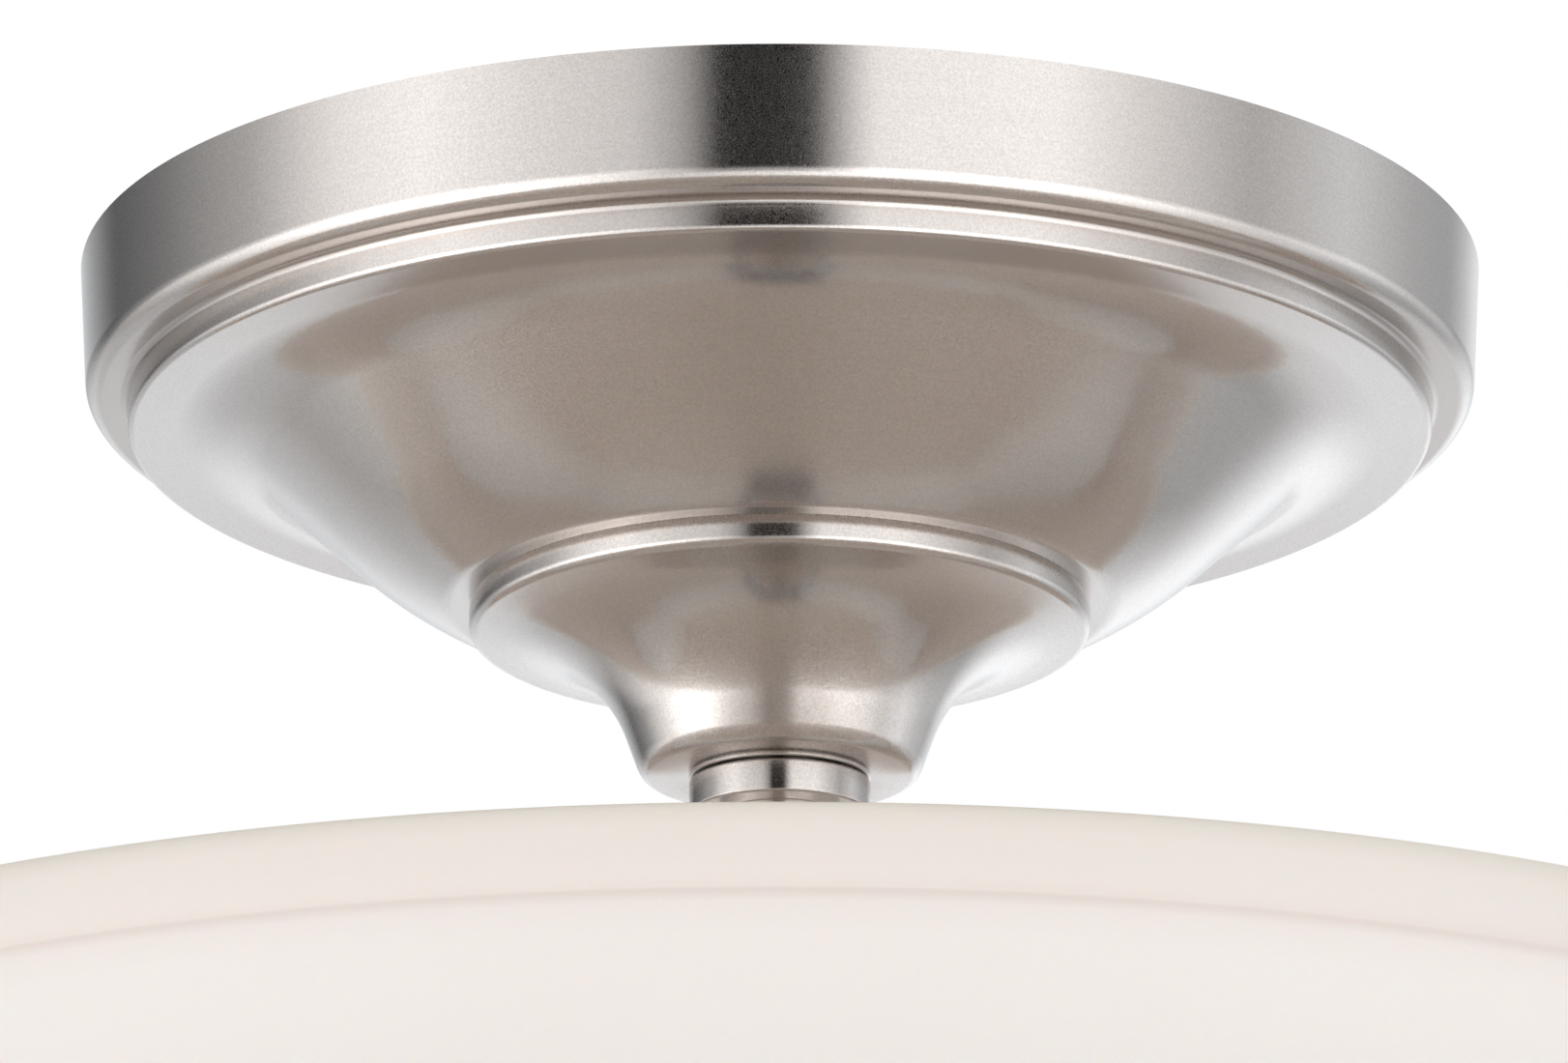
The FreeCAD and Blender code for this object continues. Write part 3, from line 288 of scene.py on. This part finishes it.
def hex_nut(name, flats, height, bore, at, bevel=0.3, face=0.96, fall=30, columns=96):
    """A six-sided nut: its outer radius is half the flats over the cosine of the angle from the
    nearest flat.

    Both ends fall away, by the angle fall in degrees, outside a circle whose radius is the
    share face of half the flats.
    """
    angle = np.arange(columns) / columns * 2 * np.pi
    corner = flats / 2 / np.cos((angle + np.pi / 6) % (np.pi / 3) - np.pi / 6)
    circle = np.full(columns, flats / 2 * face)
    drop = (corner - circle) * math.tan(math.radians(fall))
    hole = np.full(columns, bore)
    level = np.zeros(columns)
    radius = np.stack([hole, hole + bevel, circle, corner, corner, circle, hole + bevel, hole])
    up = np.stack([level + bevel, level, level, drop, height - drop, level + height,
                   level + height, level + height - bevel])
    grid = np.stack([radius * np.cos(angle), radius * np.sin(angle), up], axis=-1)
    return mesh_from_grid(name, grid + np.array(at, float), crease=12)


def screw(name, head_radius, head_height, shank_radius, shank_length, at, axis):
    """A pan-headed screw with a crossed recess: a turned section whose top face dips."""
    wall_height, top_radius = head_height * 0.45, head_radius * 0.72
    cross = recess(length=head_radius * 1.15, width=head_radius * 0.3, depth=head_height * 0.6,
                   floor=head_height * 0.9)
    return turned(
        name,
        [line(0, -shank_length), line(shank_radius, -shank_length, 0.3), line(shank_radius, 0, 0.1),
         line(head_radius, 0, 0.1), line(head_radius, wall_height),
         curve(top_radius, head_height), line(0, head_height, 0.08, 22)],
        at=at, axis=axis, columns=128, relief=cross)


def stand_for(piece, body, slot, *replaced):
    """Dress a piece, let it ride on its body, and let it stand for nodes of the frame."""
    piece.data.materials.append(slot_finishes[slot])
    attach(piece, body)
    if replaced:
        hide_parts(*replaced)
    return piece


# Node helpers


def add(tree, kind, settings=None, **inputs):
    """A node with its settings, and its inputs given as values or as links.

    An input is given by its name, with _ for each space, or by i and its number.
    """
    made = tree.nodes.new(kind)
    for key, value in (settings or {}).items():
        setattr(made, key, value)
    for key, value in inputs.items():
        numbered = key[0] == "i" and key[1:].isdigit()
        socket = made.inputs[int(key[1:]) if numbered else key.replace("_", " ")]
        if isinstance(value, bpy.types.NodeSocket):
            tree.links.new(value, socket)
        else:
            socket.default_value = value
    return made


def math_node(tree, operation, first, second=0.0, third=0.0):
    """A sum or the like of up to three values."""
    made = add(tree, "ShaderNodeMath", {"operation": operation}, i0=first, i1=second, i2=third)
    return made.outputs[0]


def product(tree, first, second):
    """Two values multiplied."""
    return math_node(tree, "MULTIPLY", first, second)


def object_place(tree):
    """The point's place on its object, which is its place in the frame at rest."""
    return add(tree, "ShaderNodeTexCoord").outputs["Object"]


def x_y_z(tree, vector):
    """The three parts of a vector."""
    return add(tree, "ShaderNodeSeparateXYZ", Vector=vector).outputs


def spread(tree, value, low, high, start=0.0, end=1.0):
    """A value between start and end, spread between low and high."""
    return add(tree, "ShaderNodeMapRange", Value=value, From_Min=start, From_Max=end,
               To_Min=low, To_Max=high).outputs[0]


def merge(tree, kind, first, second):
    """Two colours put together by a type of blend, such as MULTIPLY or ADD."""
    settings = {"data_type": "RGBA", "blend_type": kind}
    return add(tree, "ShaderNodeMix", settings, i0=1.0, i6=first, i7=second).outputs[2]


def blend(tree, share, first, second):
    """A colour between two others."""
    mix = add(tree, "ShaderNodeMix", {"data_type": "RGBA"}, i0=share)
    for place, colour in ((6, first), (7, second)):
        if isinstance(colour, bpy.types.NodeSocket):
            tree.links.new(colour, mix.inputs[place])
        else:
            mix.inputs[place].default_value = (*colour, 1)
    return mix.outputs[2]


def ramp(tree, share, stops):
    """A ramp through stops given as a place from 0 to 1 and a colour."""
    made = add(tree, "ShaderNodeValToRGB", Fac=share)
    elements = made.color_ramp.elements
    while len(elements) > 1:
        elements.remove(elements[-1])
    elements[0].position, elements[0].color = stops[0][0], (*stops[0][1], 1)
    for place, colour in stops[1:]:
        elements.new(place).color = (*colour, 1)
    return made.outputs[0]


def grey(level, warmth=0.0):
    """A grey of a level, with warmth as a share more red and less blue."""
    return (level * (1 + warmth), level, level * (1 - warmth))


def new_group(name, inputs, outputs):
    """A node group with its input and output nodes; inputs have names and defaults."""
    group = bpy.data.node_groups.new(name, "ShaderNodeTree")
    for label, value in inputs:
        socket = group.interface.new_socket(label, in_out="INPUT", socket_type="NodeSocketFloat")
        socket.default_value = value
    for label in outputs:
        group.interface.new_socket(label, in_out="OUTPUT", socket_type="NodeSocketFloat")
    return group, group.nodes.new("NodeGroupInput"), group.nodes.new("NodeGroupOutput")


def specks_in(group, place, given):
    """Fine specks, at the scale that the group is given."""
    return add(group, "ShaderNodeTexNoise", Vector=place, Scale=given.outputs["Specks"], Detail=2.0)


def hoop_grain_group(least_radius=0.0001):
    """Brushing that runs round the Z axis, and fine specks.

    The brushing is noise over the direction from the axis, the height and the radius, with the
    direction stretched. The least radius keeps the direction steady on the axis.
    """
    group, given, result = new_group(
        "hoop grain", [("Around", 9.0), ("Across", 2600.0), ("Specks", 2400.0)],
        ["Lines", "Specks"])
    place = object_place(group)
    x, y, z = x_y_z(group, place)
    radius = math_node(group, "SQRT", math_node(
        group, "ADD", product(group, x, x), product(group, y, y)))
    safe = math_node(group, "MAXIMUM", radius, least_radius)
    around = given.outputs["Around"]
    across = given.outputs["Across"]
    vector = add(
        group, "ShaderNodeCombineXYZ",
        X=product(group, math_node(group, "DIVIDE", x, safe), around),
        Y=product(group, math_node(group, "DIVIDE", y, safe), around),
        Z=product(group, z, across)).outputs[0]
    lines = add(group, "ShaderNodeTexNoise", {"noise_dimensions": "4D"}, Vector=vector,
                W=product(group, radius, across), Scale=1.0, Detail=3.0, Roughness=0.6)
    specks = specks_in(group, place, given)
    group.links.new(lines.outputs["Fac"], result.inputs["Lines"])
    group.links.new(specks.outputs["Fac"], result.inputs["Specks"])
    return group


def patches_group():
    """Soft patches and fine specks, for surfaces with no direction of their own."""
    group, given, result = new_group(
        "patches", [("Size", 40.0), ("Specks", 1500.0)], ["Patches", "Specks"])
    place = object_place(group)
    soft = add(group, "ShaderNodeTexNoise", Vector=place, Scale=given.outputs["Size"], Detail=4.0)
    specks = specks_in(group, place, given)
    group.links.new(soft.outputs["Fac"], result.inputs["Patches"])
    group.links.new(specks.outputs["Fac"], result.inputs["Specks"])
    return group


# A pattern is a group with its values, the mask of the colour and the mask of the roughness.
patches = patches_group()
HOOPS = (hoop_grain_group(), {"Across": 5200, "Specks": 15000}, "Lines", "Specks")
PATCHES = (patches, {}, "Patches", "Patches")

# Radii and heights round the corner of the canopy's wall and step, where shade is painted into the
# nickel, and heights of the bead, where shade and light are painted into the glass
CORNER_SHADE_RADII = (0.069, 0.074)
CORNER_SHADE_HEIGHTS = (-0.0156, -0.0148)
BEAD_LIGHT_AND_SHADE_HEIGHTS = (-0.110, -0.0975)


def finish_of(name, pattern, dark, light, rough, bump_height, **sockets):
    """A finish whose colour and roughness follow a pattern's masks, and its relief the specks.

    rough is what spread takes after its value: the least and the greatest roughness and, where
    they aren't 0 and 1, the mask's values for those.
    """
    group, values, colour_mask, rough_mask = pattern
    material = bpy.data.materials.new(name)
    material.use_nodes = True
    tree = material.node_tree
    principled = tree.nodes["Principled BSDF"]
    masks = add(tree, "ShaderNodeGroup", {"node_tree": group}, **values).outputs
    colour = blend(tree, masks[colour_mask], dark, light)
    tree.links.new(colour, principled.inputs["Base Color"])
    tree.links.new(spread(tree, masks[rough_mask], *rough), principled.inputs["Roughness"])
    bump = add(tree, "ShaderNodeBump", Strength=1.0, Distance=bump_height, Height=masks["Specks"])
    tree.links.new(bump.outputs[0], principled.inputs["Normal"])
    for key, value in sockets.items():
        principled.inputs[key.replace("_", " ")].default_value = value
    return material


def tone(tree, colour):
    """Multiply a finish's base colour by another one."""
    base = tree.nodes["Principled BSDF"].inputs["Base Color"]
    tree.links.new(merge(tree, "MULTIPLY", base.links[0].from_socket, colour), base)


def satin_nickel_finish():
    """Nickel brushed round the Z axis, with fine specks, and with painted shade in the canopy's
    corner.
    """
    material = finish_of(
        "satin_nickel", HOOPS, (0.64, 0.595, 0.565), (0.71, 0.665, 0.635),
        (0.08, 0.28, 0.42, 0.58), 0.000001,
        Metallic=1.0, Anisotropic=0.97, Anisotropic_Rotation=0.25)
    tree = material.node_tree
    grain = add(tree, "ShaderNodeGroup", {"node_tree": patches}, Specks=3600)
    speckle = blend(tree, spread(tree, grain.outputs["Specks"], 0.0, 1.0, 0.36, 0.64),
                    grey(0.93), grey(1.05))
    place = object_place(tree)
    flat = add(tree, "ShaderNodeVectorMath", {"operation": "MULTIPLY"},
               i0=place, i1=(1.0, 1.0, 0.0)).outputs[0]
    radius = add(tree, "ShaderNodeVectorMath", {"operation": "LENGTH"}, i0=flat).outputs["Value"]
    # Painted shade: in a ring round the corner between the canopy's wall and step, the nickel is
    # darkened to the grey below, where the real corner falls in shadow.
    near = ramp(tree, spread(tree, radius, 0.0, 1.0, *CORNER_SHADE_RADII), [
        (0.0, grey(0.0)), (0.2, grey(1.0)), (0.7, grey(1.0)), (0.85, grey(0.0))])
    above = spread(tree, x_y_z(tree, place)["Z"], 0.0, 1.0, *CORNER_SHADE_HEIGHTS)
    tone(tree, blend(tree, product(tree, near, above), speckle, (0.78, 0.76, 0.745)))
    tangent = add(tree, "ShaderNodeTangent", {"direction_type": "RADIAL", "axis": "Z"})
    tree.links.new(tangent.outputs[0], tree.nodes["Principled BSDF"].inputs["Tangent"])
    return material


def opal_glass_finish():
    """White glass with painted shade along its bead, darkest at the crease, and a lighter, warmer
    top that is partly the rim's own tone and partly painted light.
    """
    material = finish_of(
        "opal_glass", PATCHES, (0.935, 0.86, 0.815), (0.955, 0.885, 0.845), (0.42, 0.50), 0.000004,
        Specular_IOR_Level=0.2, Subsurface_Weight=0.35, Subsurface_Radius=(1.0, 0.8, 0.6),
        Subsurface_Scale=0.004)
    tree = material.node_tree
    height = spread(tree, x_y_z(tree, object_place(tree))["Z"], 0.0, 1.0, *BEAD_LIGHT_AND_SHADE_HEIGHTS)
    # Painted shade along the bead, darkest at its crease, and painted light at its lighter, warmer
    # top, which is partly the rim's own warmer tone.
    tone(tree, ramp(tree, height, [
        (0.0, (1.0, 1.0, 1.0)), (0.24, (0.97, 0.97, 0.965)), (0.32, (0.89, 0.88, 0.865)),
        (0.42, (0.90, 0.90, 0.89)), (0.60, (0.92, 0.925, 0.915)), (0.80, (0.97, 0.96, 0.935)),
        (0.92, (1.04, 1.02, 0.96)), (1.0, (1.04, 0.99, 0.89))]))
    return material


def metal(name, dark, light, rough, bump_height=0.000006):
    """A metal with soft patches."""
    return finish_of(name, PATCHES, dark, light, rough, bump_height, Metallic=1.0)


def plain(name, dark, light, rough, bump_height=0.00002, **sockets):
    """A finish with soft patches that isn't a metal."""
    return finish_of(name, PATCHES, dark, light, rough, bump_height, **sockets)


slot_finishes = {
    "satin_nickel": satin_nickel_finish(),
    "opal_glass": opal_glass_finish(),
    "porcelain": plain("porcelain", (0.86, 0.83, 0.79), (0.91, 0.885, 0.85), (0.18, 0.26),
                       Coat_Weight=0.5),
}
for name, kind, dark, light, rough in (
        ("zinc_steel", metal, (0.50, 0.52, 0.54), (0.66, 0.67, 0.68), (0.30, 0.46)),
        ("nickel_shell", metal, (0.66, 0.65, 0.62), (0.76, 0.75, 0.72), (0.22, 0.36)),
        ("brass", metal, (0.56, 0.40, 0.17), (0.74, 0.56, 0.27), (0.26, 0.42)),
        ("green_screw", metal, (0.04, 0.24, 0.11), (0.07, 0.32, 0.16), (0.28, 0.40)),
        ("bulb_glass", plain, (0.90, 0.865, 0.825), (0.935, 0.905, 0.87), (0.30, 0.38)),
        ("black_lead", plain, (0.012, 0.012, 0.013), (0.03, 0.03, 0.032), (0.38, 0.52)),
        ("white_lead", plain, (0.66, 0.65, 0.62), (0.76, 0.75, 0.72), (0.38, 0.52)),
        ("green_lead", plain, (0.02, 0.16, 0.06), (0.03, 0.22, 0.09), (0.38, 0.52)),
        ("wire_nut_orange", plain, (0.66, 0.20, 0.03), (0.76, 0.26, 0.05), (0.30, 0.42)),
        ("cushion_rubber", plain, (0.62, 0.60, 0.56), (0.72, 0.70, 0.66), (0.50, 0.66))):
    slot_finishes[name] = kind(name, dark, light, rough)

for entry in frame["record"]["subparts"]:
    dressed = nodes[entry["node"]]
    for place in dressed.material_slots:
        place.material = slot_finishes[entry["material_slot"]]

# Canopy: pan, neck cup, retainer and lock collar

stand_for(turned(
    "canopy_pan_shell",
    [line(75, 0), line(74.3, -12.6), curve(72.4, -14.5), line(70.6, -14.5), curve(69.7, -15.4),
     line(69.7, -17.3), curve(69, -18), line(64.5, -18), curve(55.2, -21.57), line(47.08, -28.88),
     curve(36.49, -36.01), curve(34.8, -36.4), line(31.38, -36.4)],
    [line(74, 0), line(73.3, -13.5, 0.6), line(68.7, -13.5, 0.5), line(68.7, -17, 0.6),
     line(64.5, -17), curve(54.53, -20.83), line(46.41, -28.14), curve(36.05, -35.11),
     curve(34.8, -35.4), line(31.38, -35.4)],
    columns=384), "canopy", "satin_nickel", "canopy_pan")

stand_for(turned(
    "neck_cup_shell",
    [line(31.3, -33.8), line(31.3, -36.4), line(32.85, -36.4, 0.05), line(33.1, -37.3, 2.5),
     line(33.1, -38.65), curve(32.1, -39.65), line(29.05, -40.07), curve(23.45, -42.04),
     curve(16.45, -50.5), line(15.3, -53.7), curve(14.75, -54.75), curve(13.9, -55.3),
     line(9.62, -55.3), line(9.62, -55.45), line(9.47, -55.6), line(6.43, -55.6)],
    [line(30, -33.8), line(30, -38.77, 0.4), line(29.4, -38.85), curve(22.78, -40.92),
     curve(15.23, -50.06), line(14, -54, 1), line(6.43, -54)],
    columns=320), "canopy", "satin_nickel", "neck_cup")

stand_for(turned(
    "neck_retainer_ring",
    tube(31.38, 34.6, -35.4, -34, 0.3, 0.3),
    columns=480, relief=notches(8, 0.9, 3.0, 34)), "canopy", "zinc_steel", "neck_retainer")

stand_for(turned("lock_collar_ring", tube(6.43, 9.62, -55.9, -59.5, 0.2, 0.3)),
          "collar", "satin_nickel", "lock_collar")

# Stem, nipples and their locknuts

stand_for(turned("stem_tube_skin", tube(5.05, 6.35, -104.5, -20, 0.2, 0.3), columns=160),
          "fixture", "satin_nickel", "stem_tube")

for name, top, foot in (("crossbar_nipple", -0.4, -11), ("stem_nipple", -97, -112)):
    rows = int((top - foot) / NIPPLE_PITCH * ROWS_PER_TURN)
    stand_for(turned(
        name + "_thread",
        [line(3.5, foot, 0.2), line(4.86, foot, 0.4), line(4.86, top, 0.4, rows),
         line(3.5, top, 0.2)],
        columns=96, relief=thread(NIPPLE_PITCH, 0.5, foot + 0.2, top - 0.2, 4)),
        "fixture", "zinc_steel", name)

for name, foot in (("nipple_locknut", -5), ("stem_locknut", -109)):
    stand_for(hex_nut(name + "_hex", 13, 3, 4.94, (0, 0, foot)), "fixture", "zinc_steel", name)

# Wire nuts and the ground screw

for name, axis, at, bore in (
        ("live_wire_nut", "y", (0, 24, -15), 2.4),
        ("neutral_wire_nut", "-y", (0, -24, -15), 2.4),
        ("ground_wire_nut", "y", (19.02, 24, -11.8), 1.1)):
    stand_for(turned(
        name + "_cap",
        [line(bore, 0, 0.1), line(5.2, 0, 0.4), line(3.4, 17, 1.4, 40), line(0, 17)],
        [line(bore, 0), line(bore, 8), line(0, 8)],
        at=at, axis=axis, columns=216, relief=flutes(18, 0.35, 2.5, 14.5)),
        "fixture", "wire_nut_orange", name)

stand_for(screw("ground_screw_head", 4, 2, 2.1, 3.2, (22, 0, -3.6), "-z"),
          "fixture", "green_screw", "ground_screw")

holder_screws = [
    screw(f"holder_screw_{name}_{level}", 2.5, 1.6, 1.6, 5.5, (8 * side, 0, up), axis)
    for name, side, axis in (("left", -1, "x"), ("right", 1, "-x"))
    for level, up in (("upper", -115), ("lower", -141))]
for piece in holder_screws:
    stand_for(piece, "fixture", "zinc_steel")
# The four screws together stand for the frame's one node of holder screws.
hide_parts("holder_screws")

# Lamps and lampholders

for name, side, axis in (("left", -1, "-x"), ("right", 1, "x")):
    holder_at, lamp_at = (9.5 * side, 0, -128), (20.6 * side, 0, -128)
    stand_for(turned(
        f"lampholder_{name}_body",
        [line(0, 0), line(19, 0, 0.8), line(19, 10, 0.3), line(18.5, 10.6, 0.3),
         line(18.5, 11.8, 0.3), line(19, 12.4, 0.3), line(19, 38), curve(17, 40),
         line(14.5, 40, 0.6), line(14.5, 8, 0.5), line(0, 8)],
        at=holder_at, axis=axis), "fixture", "porcelain", f"lampholder_{name}")
    stand_for(turned(
        f"screw_shell_{name}_thread",
        [line(8, 13, 0.1), line(14.3, 13, 0.3), line(14.3, 37.5, 0.1, 90), line(13.85, 37.5, 0.1),
         line(13.85, 13.45, 0.3, 90), line(8, 13.45, 0.1)],
        at=holder_at, axis=axis, columns=160, relief=thread(LAMP_PITCH, 0.6, 14.5, 37.4, 13)),
        "fixture", "nickel_shell", f"screw_shell_{name}")
    stand_for(turned(
        f"bulb_glass_{name}_skin",
        [line(12.9, 26.5), line(12.9, 30), curve(19.74, 47.6), curve(30, 74), curve(0, 104)],
        [line(12.1, 26.5), line(12.1, 30), curve(19.15, 48.14), curve(29.2, 74), curve(0, 103.2)],
        at=lamp_at, axis=axis), f"lamp_{name}", "bulb_glass", f"bulb_glass_{name}")
    stand_for(turned(
        f"bulb_cap_{name}_thread",
        [line(0, 2.4), line(5.2, 2.4, 0.3), line(11, 5, 0.5), line(13.1, 6.7, 0.5),
         line(13.1, 24, 0.2, 70), line(13.1, 26.5, 0.3), line(0, 26.5)],
        at=lamp_at, axis=axis, columns=160, relief=thread(LAMP_PITCH, 0.65, 7.5, 23, 12)),
        f"lamp_{name}", "nickel_shell", f"bulb_cap_{name}")

# Shade rod, its nuts and washers, the glass, and what carries it

stand_for(turned(
    "shade_rod_thread",
    [line(0, -227.5), line(2.4, -227.5, 0.4), line(2.4, -144, 0.4, 900), line(0, -144)],
    columns=48, relief=thread(ROD_PITCH, 0.35, -227.4, -144.1, 1)),
    "fixture", "zinc_steel", "shade_rod")
# The upper one of the two rod nuts stands for both.
for name, foot, replaced in (
        ("rod_nut_upper_hex", -149, ["rod_nuts"]),
        ("rod_nut_lower_hex", -153.9, []),
        ("stop_nut_hex", -202, ["stop_nut"])):
    stand_for(hex_nut(name, 8, 3.4, 2.48, (0, 0, foot)), "fixture", "zinc_steel", *replaced)
stand_for(turned("upper_washer_disc", tube(2.48, 14, -203.2, -202, 0.2, 0.35)),
          "fixture", "zinc_steel", "upper_washer")
stand_for(turned("upper_cushion_ring", tube(2.48, 13, -204.7, -203.2, 0.3, 0.6)),
          "fixture", "cushion_rubber", "upper_cushion")
stand_for(turned("lower_cushion_ring", tube(2.6, 13, -210.5, -209, 0.3, 0.6)),
          "shade", "cushion_rubber", "lower_cushion")

stand_for(turned(
    "glass_shade_bowl",
    [line(5.5, -209, 0.5), line(5.5, -205, 0.5), line(16, -205), curve(109.8, -167.7),
     curve(132.4, -122), line(132.6, -98.95), curve(134, -97.55), line(136.7, -97.55),
     curve(139.7, -100.55), curve(137, -105.9), line(136.4, -122), curve(112.2, -170.9),
     curve(16, -209)],
    columns=512), "shade", "opal_glass", "glass_shade")

stand_for(turned(
    "lower_cap_dish",
    [line(2.6, -210.5, 0.2), line(13, -210.5, 0.3), line(20.8, -209, 0.2), line(22, -209, 0.4),
     line(22, -209.6), curve(19.5, -212.1), line(13, -212.1), curve(8, -217.1), line(8, -218, 0.3),
     line(2.6, -218, 0.2)]), "shade", "satin_nickel", "lower_cap")
stand_for(turned(
    "finial_knob",
    [line(0, -228.6), line(2.48, -228.6), line(2.48, -218.2), line(8.4, -218.2), curve(9, -218.8),
     line(9, -219.8), curve(8.4, -220.4), line(5.2, -220.4), curve(4.6, -221), line(4.6, -225.2),
     line(6.495, -228.45, 0.5), curve(7.5, -232.2), curve(0, -239.7)],
    columns=192), "finial", "satin_nickel", "finial")

# Studio: a soft surround painted by direction, a pale floor and the camera

FLOOR_HEIGHT = -0.9

# The photograph's camera: its place, its tilt above level in degrees, and its lens and sensor
# in millimetres
CAMERA_PLACE = (0.00044, -1.10548, -0.37695)
CAMERA_TILT = 17.52
CAMERA_LENS = 249.36
SENSOR_WIDTH = 36


def levels(tree, share, span, stops, warmth=lambda place: 0.0):
    """Greys along a span of degrees centred on 0, through levels given by their angles."""
    return ramp(tree, share, [((place + span / 2) / span, grey(level, warmth(place)))
                              for place, level in stops])


def studio_surround(glow_strength=2.0, front_half=100):
    """Soft boxes painted by direction, with azimuth 0 at the viewer and +X at 90 degrees.

    Tall boxes stand at both hands of the viewer with a dark gap between them, and a paler
    sweep, bluer past front_half degrees, stands behind the object. A glow from below the
    horizon is added on top. Diffuse rays find it all brighter below and dimmer high up, and
    camera rays find it white.
    """
    world = bpy.data.worlds.new("studio")
    bpy.context.scene.world = world
    world.use_nodes = True
    tree = world.node_tree
    tree.nodes.clear()
    x, y, z = x_y_z(tree, add(tree, "ShaderNodeTexCoord").outputs["Generated"])
    azimuth = math_node(tree, "ARCTAN2", x, product(tree, y, -1.0))
    around = math_node(tree, "MULTIPLY_ADD", azimuth, 1 / (2 * math.pi), 0.5)
    up = math_node(tree, "MULTIPLY_ADD", math_node(tree, "ARCSINE", z), 1 / math.pi, 0.5)

    sides = levels(tree, around, 360, [
        (-180, 0.9), (-155, 0.42), (-140, 0.11), (-120, 0.22), (-95, 0.48), (-75, 1.05),
        (-60, 1.22), (-40, 0.92), (-25, 0.78), (-13, 0.85), (17, 1.1), (45, 1.22), (60, 0.9),
        (82, 0.5), (105, 0.8), (125, 0.52), (143, 0.42), (162, 0.85), (180, 0.9)],
        lambda place: -0.04 if abs(place) > front_half else -0.01)
    heights = levels(tree, up, 180, [
        (-90, 1.1), (-35, 1.0), (-20, 1.05), (-8, 1.5), (2, 1.5), (10, 0.95), (18, 1.1),
        (38, 1.15), (48, 1.6), (60, 1.0), (75, 0.3), (90, 0.15)])
    gap_around = levels(tree, around, 360, [
        (-24, 0.0), (-15, 0.5), (-10, 1.0), (5, 1.0), (9, 0.6), (15, 0.0)])
    gap_up = levels(tree, up, 180, [(-32, 0.0), (-24, 1.0), (70, 1.0), (85, 0.5)])
    boxes = blend(tree, product(tree, gap_around, gap_up),
                  merge(tree, "MULTIPLY", sides, heights), grey(0.0))

    # Only a level is left of the glow's warmth, since a product is of single values.
    glow_around = levels(tree, around, 360, [
        (-165, 0.0), (-145, 0.16), (-128, 0.22), (-112, 0.38), (-90, 0.55), (-60, 0.8),
        (-35, 0.4), (-18, 0.12), (0, 0.25), (20, 0.5), (45, 0.45), (80, 0.25), (110, 0.0)],
        lambda place: 0.03)
    glow_up = levels(tree, up, 180, [(-12, 1.0), (-3, 0.0)])
    glow = product(tree, product(tree, glow_around, glow_up), glow_strength)

    path = add(tree, "ShaderNodeLightPath").outputs
    colour = blend(tree, path["Is Camera Ray"], merge(tree, "ADD", boxes, glow), grey(1.0))
    lift = spread(tree, up, 0.17, -0.34, 0.55, 0.75)
    strength = math_node(tree, "MULTIPLY_ADD", path["Is Diffuse Ray"], lift, 1.0)
    background = add(tree, "ShaderNodeBackground", Color=colour, Strength=strength)
    output = add(tree, "ShaderNodeOutputWorld")
    tree.links.new(background.outputs[0], output.inputs[0])


def pale_floor(level, half_width=3.0, glow=0.26):
    """A flat floor below the object, seen from above only, that leaves the object's light alone."""
    mesh = bpy.data.meshes.new("floor")
    corners = np.array([[-1, -1, 0], [1, -1, 0], [1, 1, 0], [-1, 1, 0]], float) * half_width
    mesh.from_pydata((corners + [0, 0, level]).tolist(), [], [(0, 1, 2, 3)])
    floor = bpy.data.objects.new("floor", mesh)
    bpy.context.scene.collection.objects.link(floor)
    material = plain("pale_floor", (0.82, 0.81, 0.80), (0.85, 0.84, 0.83), (0.6, 0.7),
                     Emission_Color=(1.0, 1.0, 1.0, 1.0), Emission_Strength=glow)
    tree = material.node_tree
    behind = add(tree, "ShaderNodeNewGeometry").outputs["Backfacing"]
    both = add(tree, "ShaderNodeMixShader", i0=behind,
               i1=tree.nodes["Principled BSDF"].outputs[0],
               i2=add(tree, "ShaderNodeBsdfTransparent").outputs[0])
    tree.links.new(both.outputs[0], tree.nodes["Material Output"].inputs["Surface"])
    mesh.materials.append(material)
    floor.visible_glossy = False
    floor.visible_diffuse = False


studio_surround()
pale_floor(FLOOR_HEIGHT)

camera = bpy.data.objects.new("camera", bpy.data.cameras.new("camera"))
bpy.context.scene.collection.objects.link(camera)
camera.location = CAMERA_PLACE
camera.rotation_euler = Euler((math.radians(90 + CAMERA_TILT), 0, 0))
camera.data.lens = CAMERA_LENS
camera.data.sensor_width = SENSOR_WIDTH
camera.data.sensor_fit = "HORIZONTAL"
camera.data.clip_start, camera.data.clip_end = 0.05, 50
bpy.context.scene.camera = camera

bpy.context.scene.view_settings.view_transform = "Standard"
